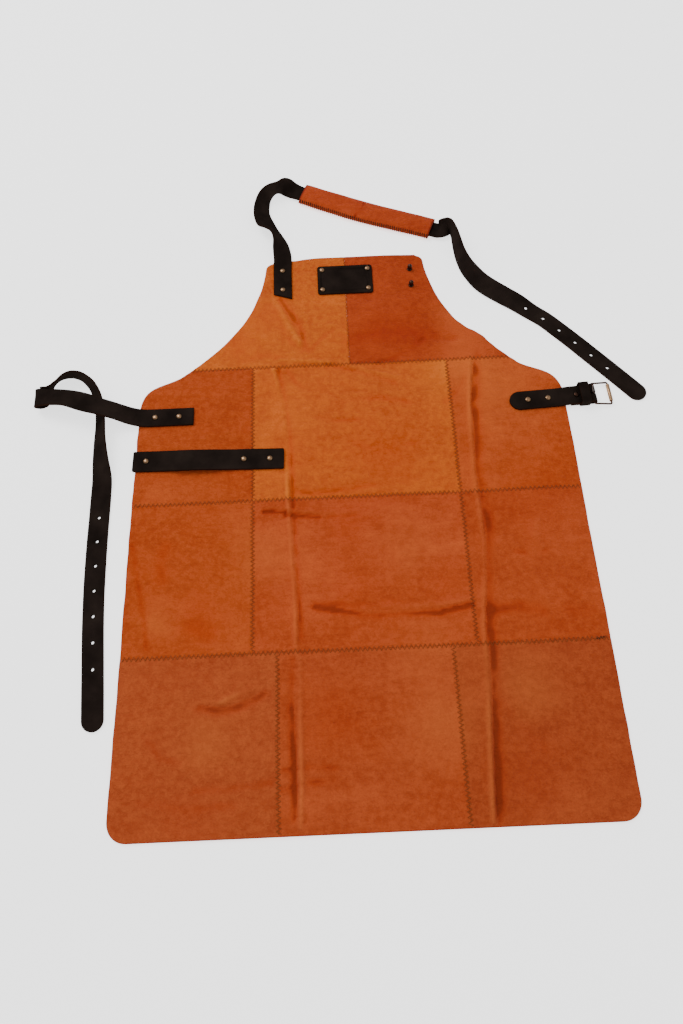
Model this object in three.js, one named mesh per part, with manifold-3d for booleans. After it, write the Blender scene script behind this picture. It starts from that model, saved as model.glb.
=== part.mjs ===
// A patchwork suede welding apron, laid flat on its back with its straps loose beside it.
// Millimetres. X runs across the apron to its right, Y from the hem up to the bib, Z is up.
// The origin is on the underside of the middle row's centre panel, on the apron's centre line.
import * as THREE from 'three';
import { mergeVertices } from 'three/addons/utils/BufferGeometryUtils.js';
import Module from 'manifold-3d';

const wasm = await Module();
wasm.setup();

// ---- driving dimensions ----------------------------------------------------------------

const GAP = 0.3;                 // clearance between pieces that touch
const SUEDE = 2.0;               // thickness of the apron panels
const STRAP = 2.6;               // thickness of the strap leather
const STRAP_WIDTH = 27;
const HALF_STRAP = STRAP_WIDTH / 2;

const HEM_Y = -310;              // the hem, the three cross seams and the bib's top edge
const LOWER_SEAM_Y = -103;
const MIDDLE_SEAM_Y = 100;
const BIB_SEAM_Y = 306;
const TOP_Y = 497;
const HEM_HALF = 301;            // half widths of the apron
const WAIST_HALF = 295;
const BIB_HALF = 117;
const WAIST_TOP_Y = 238;         // where the straight side ends and the shoulder begins
const HEM_CORNER = 24;
const BIB_CORNER = 11;
const UPPER_SPLIT = 137;         // upright seams of the waist and middle rows
const HEM_SPLIT = 107;           // upright seams of the hem row

const STRAP_Z = SUEDE + GAP;     // underside of whatever lies on the panels
const RIVET_HEAD = 4;            // radii
const RIVET_POST = 1.5;
const RIVET_DOME = 2.0;          // height
const BACK_CAP = 0.9;            // thickness of the cap pressed into the back of the suede
const STUD_HEAD = 3.5;

const NECK_X = -93;              // the neck strap's fixed end on the bib
const NECK_RIVETS_Y = [440, 475];
const NECK_END_CUT = 9;          // the fixed end is cut this much off square
const PATCH = { x: 0, y: 455, width: 82, height: 51.6, thick: 2.4, corner: 4 };
const PATCH_RIVETS = { dx: 34, dy: 18 };
const STUD_X = 97.5;
const STUDS_Y = [440, 470];

const HIP_Y = 232;               // the hip strap's fixed end on the left waist panel
const HIP_RIVETS_X = [-272, -239];
const TOWEL = { left: -299, right: -95, width: 30.5, bow: 4.7, at: [-197, 163], turn: -1.3 };
const TOWEL_RIVETS_X = [-281, -149, -114];

// The buckle tab on the right waist panel lies a little askew, turned about a point on its line.
const TAB = { width: 28.5, at: [300, 236.5], turn: 2.8 };
const TAB_INNER_X = 218;
const TAB_PANEL_RIVETS_X = [243, 271];
const TAB_END_RIVET_X = 310;
const TAB_TAIL_X = 301;          // free end of the layer folded back under the tab
const KEEPER = { from: 313.6, length: 13.4, wall: 1.4, innerHalf: 14.7, innerTop: 13.8, corner: 1.8 };
const TAB_LOWER_Z = KEEPER.wall + GAP;   // underside of the folded layer, above the keeper's bottom
const FRAME = { reach: 24.5, half: 15.9, outerHalf: 17.2, wire: 1.3, corner: 2.3, tilt: 7 };
const FOLD_RADIUS = FRAME.wire + GAP + STRAP / 2;
const BAR = { x: 333, z: TAB_LOWER_Z + STRAP / 2 + FOLD_RADIUS };
const SLOT = { from: 328.9, half: 1.7 };
const ROLLER = { outer: 2.5, inner: 1.7, half: 13, shift: 0.8 };
const PRONG = { wire: 1.1, bore: 1.65, eye: 3.7, length: 25.6, rest: 107 };

const SLEEVE = { length: 212, width: 38, height: 9.2, wall: 2.0, middle: [38.4, 583.9], turn: -22.77 };

const NECK_HOLES = { count: 6, fromEnd: 66, pitch: 29.5, radius: 2.2 };
const HIP_HOLES = { count: 7, fromEnd: 74, pitch: 33.3, radius: 2.0 };

// ---- materials -------------------------------------------------------------------------

function standard(color, roughness, metalness) {
  return new THREE.MeshStandardMaterial({ color, roughness, metalness });
}
const golden = () => standard(0xb9621f, 0.85, 0);
const russet = () => standard(0xad4c18, 0.85, 0);
const tawny = () => standard(0xb05219, 0.85, 0);
const blackLeather = () => standard(0x1a1716, 0.55, 0);
const copper = () => standard(0x9a6a4c, 0.35, 1);
const darkMetal = () => standard(0x3b2219, 0.35, 1);

// ---- solids ----------------------------------------------------------------------------

const apron = new THREE.Group();

function solid(geometry) {
  const bare = geometry.index ? geometry : geometry.clone();
  bare.deleteAttribute('normal');
  bare.deleteAttribute('uv');
  const merged = mergeVertices(bare, 1e-4);
  return new wasm.Manifold(new wasm.Mesh({
    numProp: 3,
    vertProperties: new Float32Array(merged.attributes.position.array),
    triVerts: new Uint32Array(merged.index.array),
  }));
}

function shell(body) {
  const { vertProperties, triVerts } = body.getMesh();
  const geometry = new THREE.BufferGeometry();
  geometry.setAttribute('position', new THREE.BufferAttribute(new Float32Array(vertProperties), 3));
  geometry.setIndex(new THREE.BufferAttribute(new Uint32Array(triVerts), 1));
  geometry.computeVertexNormals();
  return geometry;
}

function add(name, body, material, parent = apron) {
  const mesh = new THREE.Mesh(shell(body), material);
  mesh.name = name;
  parent.add(mesh);
  return mesh;
}

function box(x0, x1, y0, y1, z0, z1) {
  const block = new THREE.BoxGeometry(x1 - x0, y1 - y0, z1 - z0);
  return solid(block.translate((x0 + x1) / 2, (y0 + y1) / 2, (z0 + z1) / 2));
}

function uprightCylinder(x, y, z0, z1, radius, sides = 16) {
  const rod = new THREE.CylinderGeometry(radius, radius, z1 - z0, sides);
  return solid(rod.rotateX(Math.PI / 2).translate(x, y, (z0 + z1) / 2));
}

// A rod along Y, centred on y = 0.
function crossRod(x, z, half, radius, sides = 14) {
  const rod = new THREE.CylinderGeometry(radius, radius, 2 * half, sides);
  return solid(rod.translate(x, 0, z));
}

// profile: [radius, height] pairs up the outside of the piece, turned about Z.
function turned(profile, sides = 16) {
  const points = profile.map(([radius, height]) => new THREE.Vector2(radius, height));
  return solid(new THREE.LatheGeometry(points, sides).rotateX(Math.PI / 2));
}

function roundedRectangle(width, height, radius) {
  const shape = new THREE.Shape();
  const [w, h] = [width / 2, height / 2];
  shape.moveTo(-w + radius, -h);
  shape.lineTo(w - radius, -h);
  shape.absarc(w - radius, -h + radius, radius, -Math.PI / 2, 0);
  shape.lineTo(w, h - radius);
  shape.absarc(w - radius, h - radius, radius, 0, Math.PI / 2);
  shape.lineTo(-w + radius, h);
  shape.absarc(-w + radius, h - radius, radius, Math.PI / 2, Math.PI);
  shape.lineTo(-w, -h + radius);
  shape.absarc(-w + radius, -h + radius, radius, Math.PI, Math.PI * 1.5);
  return shape;
}

function extruded(shape, depth, curveSegments = 6) {
  return new THREE.ExtrudeGeometry(shape, { depth, curveSegments, bevelEnabled: false, steps: 1 });
}

// ---- the suede panels ------------------------------------------------------------------

// The whole apron's outline: one half drawn, the other mirrored.
function apronOutline() {
  const half = [];
  const corner = new THREE.EllipseCurve(
    HEM_HALF - HEM_CORNER, HEM_Y + HEM_CORNER, HEM_CORNER, HEM_CORNER, -Math.PI / 2, 0);
  half.push(...corner.getPoints(6));
  const shoulder = new THREE.CubicBezierCurve(
    new THREE.Vector2(WAIST_HALF, WAIST_TOP_Y), new THREE.Vector2(294, 290),
    new THREE.Vector2(262, 279), new THREE.Vector2(235, 299));
  half.push(...shoulder.getPoints(8));
  const armhole = new THREE.CubicBezierCurve(
    new THREE.Vector2(235, 299), new THREE.Vector2(155, 357),
    new THREE.Vector2(127, 414), new THREE.Vector2(BIB_HALF + 1, TOP_Y - BIB_CORNER));
  half.push(...armhole.getPoints(14).slice(1));
  const topCorner = new THREE.EllipseCurve(
    BIB_HALF + 1 - BIB_CORNER, TOP_Y - BIB_CORNER, BIB_CORNER, BIB_CORNER, 0, Math.PI / 2);
  half.push(...topCorner.getPoints(5).slice(1));
  const mirrored = half.map((p) => new THREE.Vector2(-p.x, p.y)).reverse();
  return new THREE.Shape([...half, ...mirrored]);
}

const blank = solid(extruded(apronOutline(), SUEDE));
const FAR = 400;

// A back cap sits flush in a shallow seat pressed into the suede around the post's hole.
function fastenerSeat(x, y, bottom = 0, top = SUEDE) {
  const seat = uprightCylinder(x, y, bottom - 1, bottom + BACK_CAP + GAP, RIVET_HEAD + GAP);
  const hole = uprightCylinder(x, y, bottom - 1, top + 1, RIVET_POST + GAP);
  return seat.add(hole);
}

function addPanel(name, x0, x1, y0, y1, fasteners, material) {
  let body = blank.intersect(box(x0 + GAP / 2, x1 - GAP / 2, y0 + GAP / 2, y1 - GAP / 2, -1, SUEDE + 1));
  for (const [x, y] of fasteners) {
    body = body.subtract(fastenerSeat(x, y));
  }
  add(name, body, material);
}

// The place of x along a strap that is turned a little about its point at.
function askew(x, { at, turn }) {
  const angle = THREE.MathUtils.degToRad(turn);
  return [at[0] + (x - at[0]) * Math.cos(angle), at[1] + (x - at[0]) * Math.sin(angle)];
}

const patchCorners = [-1, 1].flatMap((sx) => [-1, 1].map((sy) => (
  [PATCH.x + sx * PATCH_RIVETS.dx, PATCH.y + sy * PATCH_RIVETS.dy])));
const neckFasteners = NECK_RIVETS_Y.map((y) => [NECK_X, y]);
const studPlaces = STUDS_Y.map((y) => [STUD_X, y]);
const hipFasteners = HIP_RIVETS_X.map((x) => [x, HIP_Y]);
const towelFasteners = TOWEL_RIVETS_X.map((x) => askew(x, TOWEL));
const tabFasteners = TAB_PANEL_RIVETS_X.map((x) => askew(x, TAB));

addPanel('bib_panel_left', -FAR, 0, BIB_SEAM_Y, FAR * 2,
  [...neckFasteners, ...patchCorners.slice(0, 2)], golden());
addPanel('bib_panel_right', 0, FAR, BIB_SEAM_Y, FAR * 2,
  [...studPlaces, ...patchCorners.slice(2)], russet());
addPanel('waist_panel_left', -FAR, -UPPER_SPLIT, MIDDLE_SEAM_Y, BIB_SEAM_Y,
  [...hipFasteners, ...towelFasteners.slice(0, 2)], russet());
addPanel('waist_panel_center', -UPPER_SPLIT, UPPER_SPLIT, MIDDLE_SEAM_Y, BIB_SEAM_Y,
  towelFasteners.slice(2), tawny());
addPanel('waist_panel_right', UPPER_SPLIT, FAR, MIDDLE_SEAM_Y, BIB_SEAM_Y, tabFasteners, tawny());
addPanel('middle_panel_left', -FAR, -UPPER_SPLIT, LOWER_SEAM_Y, MIDDLE_SEAM_Y, [], russet());
addPanel('middle_panel_center', -UPPER_SPLIT, UPPER_SPLIT, LOWER_SEAM_Y, MIDDLE_SEAM_Y, [], tawny());
addPanel('middle_panel_right', UPPER_SPLIT, FAR, LOWER_SEAM_Y, MIDDLE_SEAM_Y, [], russet());
addPanel('hem_panel_left', -FAR, -HEM_SPLIT, -FAR, LOWER_SEAM_Y, [], tawny());
addPanel('hem_panel_center', -HEM_SPLIT, HEM_SPLIT, -FAR, LOWER_SEAM_Y, [], tawny());
addPanel('hem_panel_right', HEM_SPLIT, FAR, -FAR, LOWER_SEAM_Y, [], russet());

// ---- the two long straps ---------------------------------------------------------------

// Each row of a route is a point on the strap's centre line, then the way its width points
// there: flat on the ground, or turned up on edge where the leather curls.
const NECK_ROUTE = [
  [-93, 424, 3.6, 1, 0, 0],
  [-93, 450, 3.6, 1, 0, 0],
  [-93, 478, 3.6, 1, 0, 0],
  [-92.5, 498, 4.4, 1, 0, -0.08],
  [-94, 514, 7.5, 0.92, 0.1, -0.36],
  [-96, 528, 11.5, 0.7, 0.15, -0.7],
  [-101.5, 541, 13.7, 0.56, 0.3, -0.77],
  [-110, 552, 13.2, 0.6, 0.5, -0.62],
  [-118, 563.5, 11.2, 0.84, 0.5, -0.28],
  [-122, 575, 10.6, 0.93, 0.22, -0.32],
  [-123.5, 587, 11.2, 0.85, 0.05, -0.52],
  [-122, 600, 12.4, 0.7, -0.05, -0.7],
  [-117.5, 614, 13.9, 0.5, 0, -0.86],
  [-109, 625, 14.4, 0.3, 0.15, -0.94],
  [-98, 631.5, 14.4, 0.05, 0.15, -0.98],
  [-86.5, 634, 12.6, -0.12, -0.5, -0.8],
  [-74.5, 631.3, 6.6, -0.35, -0.88, -0.22],
  [-61, 625.6, 4.6, -0.387, -0.922, 0],
  [-30, 612.6, 4.6, -0.387, -0.922, 0],
  [20, 591.6, 4.6, -0.387, -0.922, 0],
  [70, 570.6, 4.6, -0.387, -0.922, 0],
  [110, 553.8, 4.6, -0.387, -0.922, 0],
  [142, 540.4, 4.7, -0.387, -0.922, 0],
  [149, 538.4, 7, -0.32, -0.88, -0.34],
  [156, 539.6, 11.4, -0.15, -0.6, -0.78],
  [162.5, 540, 14.2, -0.1, -0.05, -1],
  [167, 531, 14.6, -0.08, 0, -1],
  [169.5, 516, 14.4, -0.22, 0, -0.97],
  [171.3, 501, 14, -0.3, 0, -0.95],
  [174, 483.5, 13.6, -0.36, -0.05, -0.93],
  [180, 464, 13, -0.45, -0.15, -0.88],
  [188.5, 448, 12.5, -0.52, -0.28, -0.8],
  [198, 435, 11.2, -0.56, -0.4, -0.68],
  [211, 423.5, 9.4, -0.56, -0.56, -0.55],
  [230, 410, 7.4, -0.54, -0.72, -0.42],
  [249, 397, 5.3, -0.58, -0.76, -0.26],
  [267, 383, 2.4, -0.66, -0.74, -0.04],
  [286, 367.5, 1.6, -0.7, -0.7, 0],
  [304, 348, 1.6, -0.74, -0.67, 0],
  [323.5, 326, 1.6, -0.76, -0.65, 0],
  [343, 303, 1.6, -0.77, -0.63, 0],
  [362.5, 280, 1.6, -0.78, -0.62, 0],
  [383, 255.5, 1.6, -0.78, -0.62, 0],
  [404, 230, 1.6, -0.78, -0.62, 0],
];
const HIP_ROUTE = [
  [-219, 232, 3.6, 0, 1, 0],
  [-245, 232, 3.6, 0, 1, 0],
  [-272, 232, 3.6, 0, 1, 0],
  [-290, 232.5, 4.2, 0, 1, 0],
  [-306, 234, 9.5, 0.1, 1, -0.05],
  [-325, 237.5, 19, 0.15, 1, -0.12],
  [-344, 240, 28.5, 0.2, 1, -0.1],
  [-364, 246, 31, 0.25, 1, 0.1],
  [-388, 255.5, 28, 0.15, 1, -0.16],
  [-410, 260.5, 24, 0, 1, -0.15],
  [-426, 263.5, 20, 0, 1, -0.02],
  [-435.5, 265.5, 15.5, 0, 1, 0.05],
  [-438, 267, 10.5, 0, 1, 0.05],
  [-435, 268.5, 5.5, -0.02, 1, 0.08],
  [-429, 271, 4.6, -0.08, 0.98, 0.2],
  [-422.5, 275.5, 10.8, 0.05, 0.7, 0.7],
  [-416.5, 281, 14, 0.25, -0.05, 0.95],
  [-413.5, 287.5, 13.8, 0.3, -0.4, 0.87],
  [-409, 294.2, 13.7, 0.3, -0.4, 0.87],
  [-401.5, 299.5, 13.9, 0.29, -0.3, 0.91],
  [-390.5, 301.8, 14, 0.27, -0.22, 0.94],
  [-378, 298.3, 14, 0.3, -0.16, 0.94],
  [-367, 289.5, 14, 0.38, -0.1, 0.93],
  [-358.5, 278.5, 13.8, 0.44, 0, 0.9],
  [-351.5, 262, 13, 0.54, 0.03, 0.82],
  [-347, 243, 12.2, 0.62, 0, 0.78],
  [-345, 222, 11.7, 0.66, 0, 0.75],
  [-344, 196, 10.7, 0.74, 0, 0.66],
  [-341.5, 168, 8.2, 0.88, 0, 0.46],
  [-338.5, 142, 3.9, 0.98, 0, 0.12],
  [-338.5, 116, 1.8, 1, 0, 0],
  [-338.5, 87, 1.6, 1, 0, 0],
  [-338.5, 54, 1.6, 1, 0, 0],
  [-338, 18, 1.6, 1, 0.02, 0],
  [-337, -18, 1.6, 1, 0.04, 0],
  [-334.5, -64, 1.6, 1, 0.06, 0],
  [-330, -122, 1.6, 1, 0.08, 0],
  [-325, -187, 1.6, 1, 0.08, 0],
];
const STEPS_PER_POINT = 3;
const END_STEPS = 6;

class StrapRoute {
  constructor(rows) {
    const points = rows.map(([x, y, z]) => new THREE.Vector3(x, y, z));
    const widths = rows.map(([, , , x, y, z]) => new THREE.Vector3(x, y, z));
    this.line = new THREE.CatmullRomCurve3(points, false, 'catmullrom', 0.5);
    this.width = new THREE.CatmullRomCurve3(widths, false, 'catmullrom', 0.5);
    this.line.arcLengthDivisions = 1200;
    this.length = this.line.getLength();
    this.spans = rows.length - 1;
  }

  // The centre, width direction and thickness direction at t, from 0 to 1.
  frame(t) {
    const centre = this.line.getPoint(t);
    const along = this.line.getTangent(t);
    const across = this.width.getPoint(t);
    across.addScaledVector(along, -across.dot(along)).normalize();
    return { centre, across, up: new THREE.Vector3().crossVectors(along, across) };
  }

  parameterAt(distance) {
    return this.line.getUtoTmapping(distance / this.length);
  }
}

// A flat strap along its route, with a half-round free end; cut moves the fixed end's far edge.
function strapSolid(route, cut = 0) {
  const stations = [];
  const roundStart = route.parameterAt(route.length - HALF_STRAP);
  const steps = route.spans * STEPS_PER_POINT;
  for (let i = 0; i <= steps; i += 1) {
    const t = i / steps;
    if (t < roundStart - 0.3 / steps) {
      stations.push({ t, half: HALF_STRAP });
    }
  }
  for (let i = 0; i < END_STEPS; i += 1) {
    const angle = (i / END_STEPS) * (Math.PI / 2);
    const t = route.parameterAt(route.length - HALF_STRAP * (1 - Math.sin(angle)));
    stations.push({ t, half: HALF_STRAP * Math.cos(angle) });
  }
  const positions = [];
  stations.forEach(({ t, half }, i) => {
    const { centre, across, up } = route.frame(t);
    for (const [side, level] of [[-1, -1], [1, -1], [1, 1], [-1, 1]]) {
      const corner = centre.clone().addScaledVector(across, side * half);
      corner.addScaledVector(up, level * STRAP / 2);
      if (i === 0 && side < 0) {
        corner.y += cut;
      }
      positions.push(corner.x, corner.y, corner.z);
    }
  });
  const faces = [0, 2, 1, 0, 3, 2];
  for (let i = 0; i + 1 < stations.length; i += 1) {
    for (let side = 0; side < 4; side += 1) {
      const [a, b] = [4 * i + side, 4 * i + ((side + 1) % 4)];
      faces.push(a, b, a + 4, b, b + 4, a + 4);
    }
  }
  const last = 4 * (stations.length - 1);
  faces.push(last, last + 1, last + 2, last, last + 2, last + 3);
  const geometry = new THREE.BufferGeometry();
  geometry.setAttribute('position', new THREE.Float32BufferAttribute(positions, 3));
  geometry.setIndex(faces);
  return solid(geometry);
}

// Holes punched square through the strap, the first one fromEnd away from its free end.
function punchHoles(body, route, holes) {
  let punched = body;
  for (let i = 0; i < holes.count; i += 1) {
    const distance = route.length - holes.fromEnd - i * holes.pitch;
    const { centre, up } = route.frame(route.parameterAt(distance));
    const punch = new THREE.CylinderGeometry(holes.radius, holes.radius, 3 * STRAP, 10);
    punch.applyQuaternion(new THREE.Quaternion().setFromUnitVectors(new THREE.Vector3(0, 1, 0), up));
    punched = punched.subtract(solid(punch.translate(centre.x, centre.y, centre.z)));
  }
  return punched;
}

function postHoles(body, places, z0, z1) {
  return places.reduce((rest, [x, y]) => (
    rest.subtract(uprightCylinder(x, y, z0, z1, RIVET_POST + GAP))), body);
}

const neckRoute = new StrapRoute(NECK_ROUTE);
const hipRoute = new StrapRoute(HIP_ROUTE);
const neckStrap = punchHoles(strapSolid(neckRoute, NECK_END_CUT), neckRoute, NECK_HOLES);
const hipStrap = punchHoles(strapSolid(hipRoute), hipRoute, HIP_HOLES);
add('neck_strap', postHoles(neckStrap, neckFasteners, 0, 9), blackLeather());
add('hip_strap', postHoles(hipStrap, hipFasteners, 0, 9), blackLeather());

// ---- the pad sleeve around the neck strap ----------------------------------------------

// A flat tube whose length runs along local X, its underside on local z = 0.
function tubeAlongX(width, height, wall, length, corner) {
  const outline = roundedRectangle(width, height, corner);
  const inner = roundedRectangle(width - 2 * wall, height - 2 * wall, Math.max(corner - wall, 0.5));
  outline.holes.push(new THREE.Path(inner.getPoints(3).reverse()));
  const geometry = extruded(outline, length, 3);
  const toXAxis = new THREE.Matrix4().makeBasis(
    new THREE.Vector3(0, 1, 0), new THREE.Vector3(0, 0, 1), new THREE.Vector3(1, 0, 0));
  return solid(geometry.applyMatrix4(toXAxis).translate(-length / 2, 0, height / 2));
}

const sleeve = add('neck_pad_sleeve',
  tubeAlongX(SLEEVE.width, SLEEVE.height, SLEEVE.wall, SLEEVE.length, 4), tawny());
sleeve.position.set(SLEEVE.middle[0], SLEEVE.middle[1], 0);
sleeve.rotation.z = THREE.MathUtils.degToRad(SLEEVE.turn);

// ---- short straps made from a strip bent in the X-Z plane ------------------------------

// line: [x, z] points along the middle of the strip's thickness; width lies evenly about y = 0.
function bentStrip(line, width) {
  const above = [];
  const below = [];
  line.forEach(([x, z], i) => {
    const [x0, z0] = line[Math.max(i - 1, 0)];
    const [x1, z1] = line[Math.min(i + 1, line.length - 1)];
    const run = Math.hypot(x1 - x0, z1 - z0);
    const [nx, nz] = [-(z1 - z0) / run, (x1 - x0) / run];
    above.push(new THREE.Vector2(x + nx * STRAP / 2, z + nz * STRAP / 2));
    below.push(new THREE.Vector2(x - nx * STRAP / 2, z - nz * STRAP / 2));
  });
  const section = new THREE.Shape([...below, ...above.reverse()]);
  const geometry = extruded(section, width).rotateX(Math.PI / 2);
  return solid(geometry.translate(0, width / 2, 0));
}

const ON_PANEL_Z = STRAP_Z + STRAP / 2;
const TOWEL_STEPS = 16;
const towelLine = [[TOWEL.left, ON_PANEL_Z]];
const [bowStart, bowEnd] = [TOWEL_RIVETS_X[0] + RIVET_HEAD + 1, TOWEL_RIVETS_X[1] - RIVET_HEAD - 1];
for (let i = 0; i <= TOWEL_STEPS; i += 1) {
  const u = i / TOWEL_STEPS;
  const lift = TOWEL.bow * Math.sin(Math.PI * u) ** 2;
  towelLine.push([bowStart + u * (bowEnd - bowStart), ON_PANEL_Z + lift]);
}
towelLine.push([TOWEL.right, ON_PANEL_Z]);

// A group whose contents keep their own x but are turned with a strap about its point at.
function askewGroup({ at, turn }) {
  const pivot = new THREE.Group();
  pivot.position.set(at[0], at[1], 0);
  pivot.rotation.z = THREE.MathUtils.degToRad(turn);
  const inner = new THREE.Group();
  inner.position.x = -at[0];
  pivot.add(inner);
  apron.add(pivot);
  return inner;
}
const alongStrap = (places) => places.map((x) => [x, 0]);

add('towel_strap', postHoles(bentStrip(towelLine, TOWEL.width), alongStrap(TOWEL_RIVETS_X), 0, 9),
  blackLeather(), askewGroup(TOWEL));

// The buckle tab lies on the panel, steps up over its own folded end and turns round the bar.
const DOUBLED_Z = TAB_LOWER_Z + STRAP * 1.5 + GAP;
const tabLine = [
  [TAB_INNER_X, ON_PANEL_Z], [284, ON_PANEL_Z], [291, ON_PANEL_Z + 0.9], [298, DOUBLED_Z - 0.4],
  [304, DOUBLED_Z + 0.1], [319, DOUBLED_Z + 0.1], [324, DOUBLED_Z + 0.8], [330, BAR.z + FOLD_RADIUS - 0.3],
];
const FOLD_STEPS = 10;
for (let i = 0; i <= FOLD_STEPS; i += 1) {
  const angle = Math.PI / 2 - (i / FOLD_STEPS) * Math.PI;
  tabLine.push([BAR.x + FOLD_RADIUS * Math.cos(angle), BAR.z + FOLD_RADIUS * Math.sin(angle)]);
}
tabLine.push([TAB_TAIL_X, TAB_LOWER_Z + STRAP / 2]);
const tabSide = askewGroup(TAB);
const tabHalf = TAB.width / 2;
const tabPlan = uprightCylinder(TAB_INNER_X + tabHalf, 0, -5, 20, tabHalf, 28)
  .add(box(TAB_INNER_X + tabHalf, FAR, -tabHalf, tabHalf, -5, 20));
const slot = box(SLOT.from, FAR, -SLOT.half, SLOT.half, -5, 20);
const tabBody = bentStrip(tabLine, TAB.width).intersect(tabPlan).subtract(slot)
  .subtract(fastenerSeat(TAB_END_RIVET_X, 0, TAB_LOWER_Z, 9));
add('buckle_tab', postHoles(tabBody, alongStrap(TAB_PANEL_RIVETS_X), 0, 9), blackLeather(), tabSide);

const keeper = add('keeper_loop', tubeAlongX(2 * (KEEPER.innerHalf + KEEPER.wall),
  KEEPER.innerTop + KEEPER.wall, KEEPER.wall, KEEPER.length, KEEPER.corner), blackLeather(), tabSide);
keeper.position.x = KEEPER.from + KEEPER.length / 2;

// ---- roller buckle ---------------------------------------------------------------------

const buckle = new THREE.Group();
buckle.position.set(BAR.x, 0, BAR.z);
buckle.rotation.y = THREE.MathUtils.degToRad(FRAME.tilt);
tabSide.add(buckle);

// The wire ring: its inner bar is on the local Y axis, its outer bar carries the roller.
function wireRing() {
  const { reach, half, outerHalf, corner } = FRAME;
  const ring = new THREE.CurvePath();
  const corners = [[0, -half], [reach, -outerHalf], [reach, outerHalf], [0, half]]
    .map(([x, y]) => new THREE.Vector3(x, y, 0));
  const near = (from, to) => from.clone().addScaledVector(to.clone().sub(from).normalize(), corner);
  corners.forEach((turn, i) => {
    const last = corners[(i + 3) % 4];
    const next = corners[(i + 1) % 4];
    ring.add(new THREE.QuadraticBezierCurve3(near(turn, last), turn, near(turn, next)));
    ring.add(new THREE.LineCurve3(near(turn, next), near(next, turn)));
  });
  return solid(new THREE.TubeGeometry(ring, 60, FRAME.wire, 8, true));
}
add('buckle_frame', wireRing(), darkMetal(), buckle);

const roller = crossRod(0, 0, ROLLER.half, ROLLER.outer)
  .subtract(crossRod(0, 0, ROLLER.half + 1, ROLLER.inner));
add('buckle_roller', roller, copper(), buckle).position.set(FRAME.reach, ROLLER.shift, 0);

// The prong stands back against the keeper; its eye turns on the inner bar.
const shank = new THREE.CylinderGeometry(PRONG.wire * 0.75, PRONG.wire, PRONG.length - PRONG.bore, 10);
shank.rotateZ(-Math.PI / 2).translate((PRONG.length + PRONG.bore) / 2, 0, 0);
const prong = crossRod(0, 0, PRONG.wire, PRONG.eye, 18).add(solid(shank))
  .subtract(crossRod(0, 0, PRONG.wire + 1, PRONG.bore));
const prongMesh = add('buckle_prong', prong, darkMetal(), tabSide);
prongMesh.position.set(BAR.x, 0, BAR.z);
prongMesh.rotation.y = -THREE.MathUtils.degToRad(PRONG.rest);

// ---- badge patch, rivets and studs -----------------------------------------------------

const patchBlank = solid(extruded(roundedRectangle(PATCH.width, PATCH.height, PATCH.corner), PATCH.thick)
  .translate(PATCH.x, PATCH.y, STRAP_Z));
add('badge_patch', postHoles(patchBlank, patchCorners, 0, 9), blackLeather());

// A domed cap with its post, and the flat cap pressed in from behind. top: the leather's top.
function addRivet(name, x, y, top, bottom = 0) {
  const seat = top + GAP;
  const profile = [[0, bottom + BACK_CAP + GAP], [RIVET_POST, bottom + BACK_CAP + GAP],
    [RIVET_POST, seat], [RIVET_HEAD, seat], [RIVET_HEAD, seat + 0.5]];
  for (const angle of [30, 60]) {
    const a = THREE.MathUtils.degToRad(angle);
    profile.push([RIVET_HEAD * Math.cos(a), seat + 0.5 + (RIVET_DOME - 0.5) * Math.sin(a)]);
  }
  profile.push([0, seat + RIVET_DOME]);
  add(`${name}_cap`, turned(profile, 14), copper()).position.set(x, y, 0);
  const back = uprightCylinder(0, 0, bottom, bottom + BACK_CAP, RIVET_HEAD, 14);
  add(`${name}_back`, back, copper()).position.set(x, y, 0);
}

const STRAP_TOP = STRAP_Z + STRAP;
neckFasteners.forEach(([x, y], i) => addRivet(`neck_rivet_${i + 1}`, x, y, STRAP_TOP));
patchCorners.forEach(([x, y], i) => addRivet(`patch_rivet_${i + 1}`, x, y, STRAP_Z + PATCH.thick));
hipFasteners.forEach(([x, y], i) => addRivet(`hip_rivet_${i + 1}`, x, y, STRAP_TOP));
towelFasteners.forEach(([x, y], i) => addRivet(`towel_rivet_${i + 1}`, x, y, STRAP_TOP));
tabFasteners.forEach(([x, y], i) => addRivet(`tab_rivet_${i + 1}`, x, y, STRAP_TOP));
addRivet('tab_rivet_3', ...askew(TAB_END_RIVET_X, TAB), DOUBLED_Z + 0.1 + STRAP / 2, TAB_LOWER_Z);

// A stud screwed to the bib: collar, neck and ball head over its threaded post.
studPlaces.forEach(([x, y], i) => {
  const ballZ = STRAP_Z + 2.7 + STUD_HEAD;
  const profile = [[0, BACK_CAP + GAP], [RIVET_POST, BACK_CAP + GAP], [RIVET_POST, STRAP_Z],
    [RIVET_HEAD, STRAP_Z], [RIVET_HEAD, STRAP_Z + 1], [2, STRAP_Z + 1.6], [2, ballZ - 2.87]];
  for (const angle of [-25, 5, 35, 65]) {
    const a = THREE.MathUtils.degToRad(angle);
    profile.push([STUD_HEAD * Math.cos(a), ballZ + STUD_HEAD * Math.sin(a)]);
  }
  profile.push([0, ballZ + STUD_HEAD]);
  add(`stud_${i + 1}`, turned(profile), darkMetal()).position.set(x, y, 0);
  const back = uprightCylinder(0, 0, 0, BACK_CAP, RIVET_HEAD, 14);
  add(`stud_${i + 1}_back`, back, darkMetal()).position.set(x, y, 0);
});

export default apron;
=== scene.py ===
"""A patchwork suede welding apron lying flat on its back, with loose straps. Metres, +Z up."""

import math

import bmesh
import bpy
from mathutils import Matrix, Vector, noise


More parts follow.
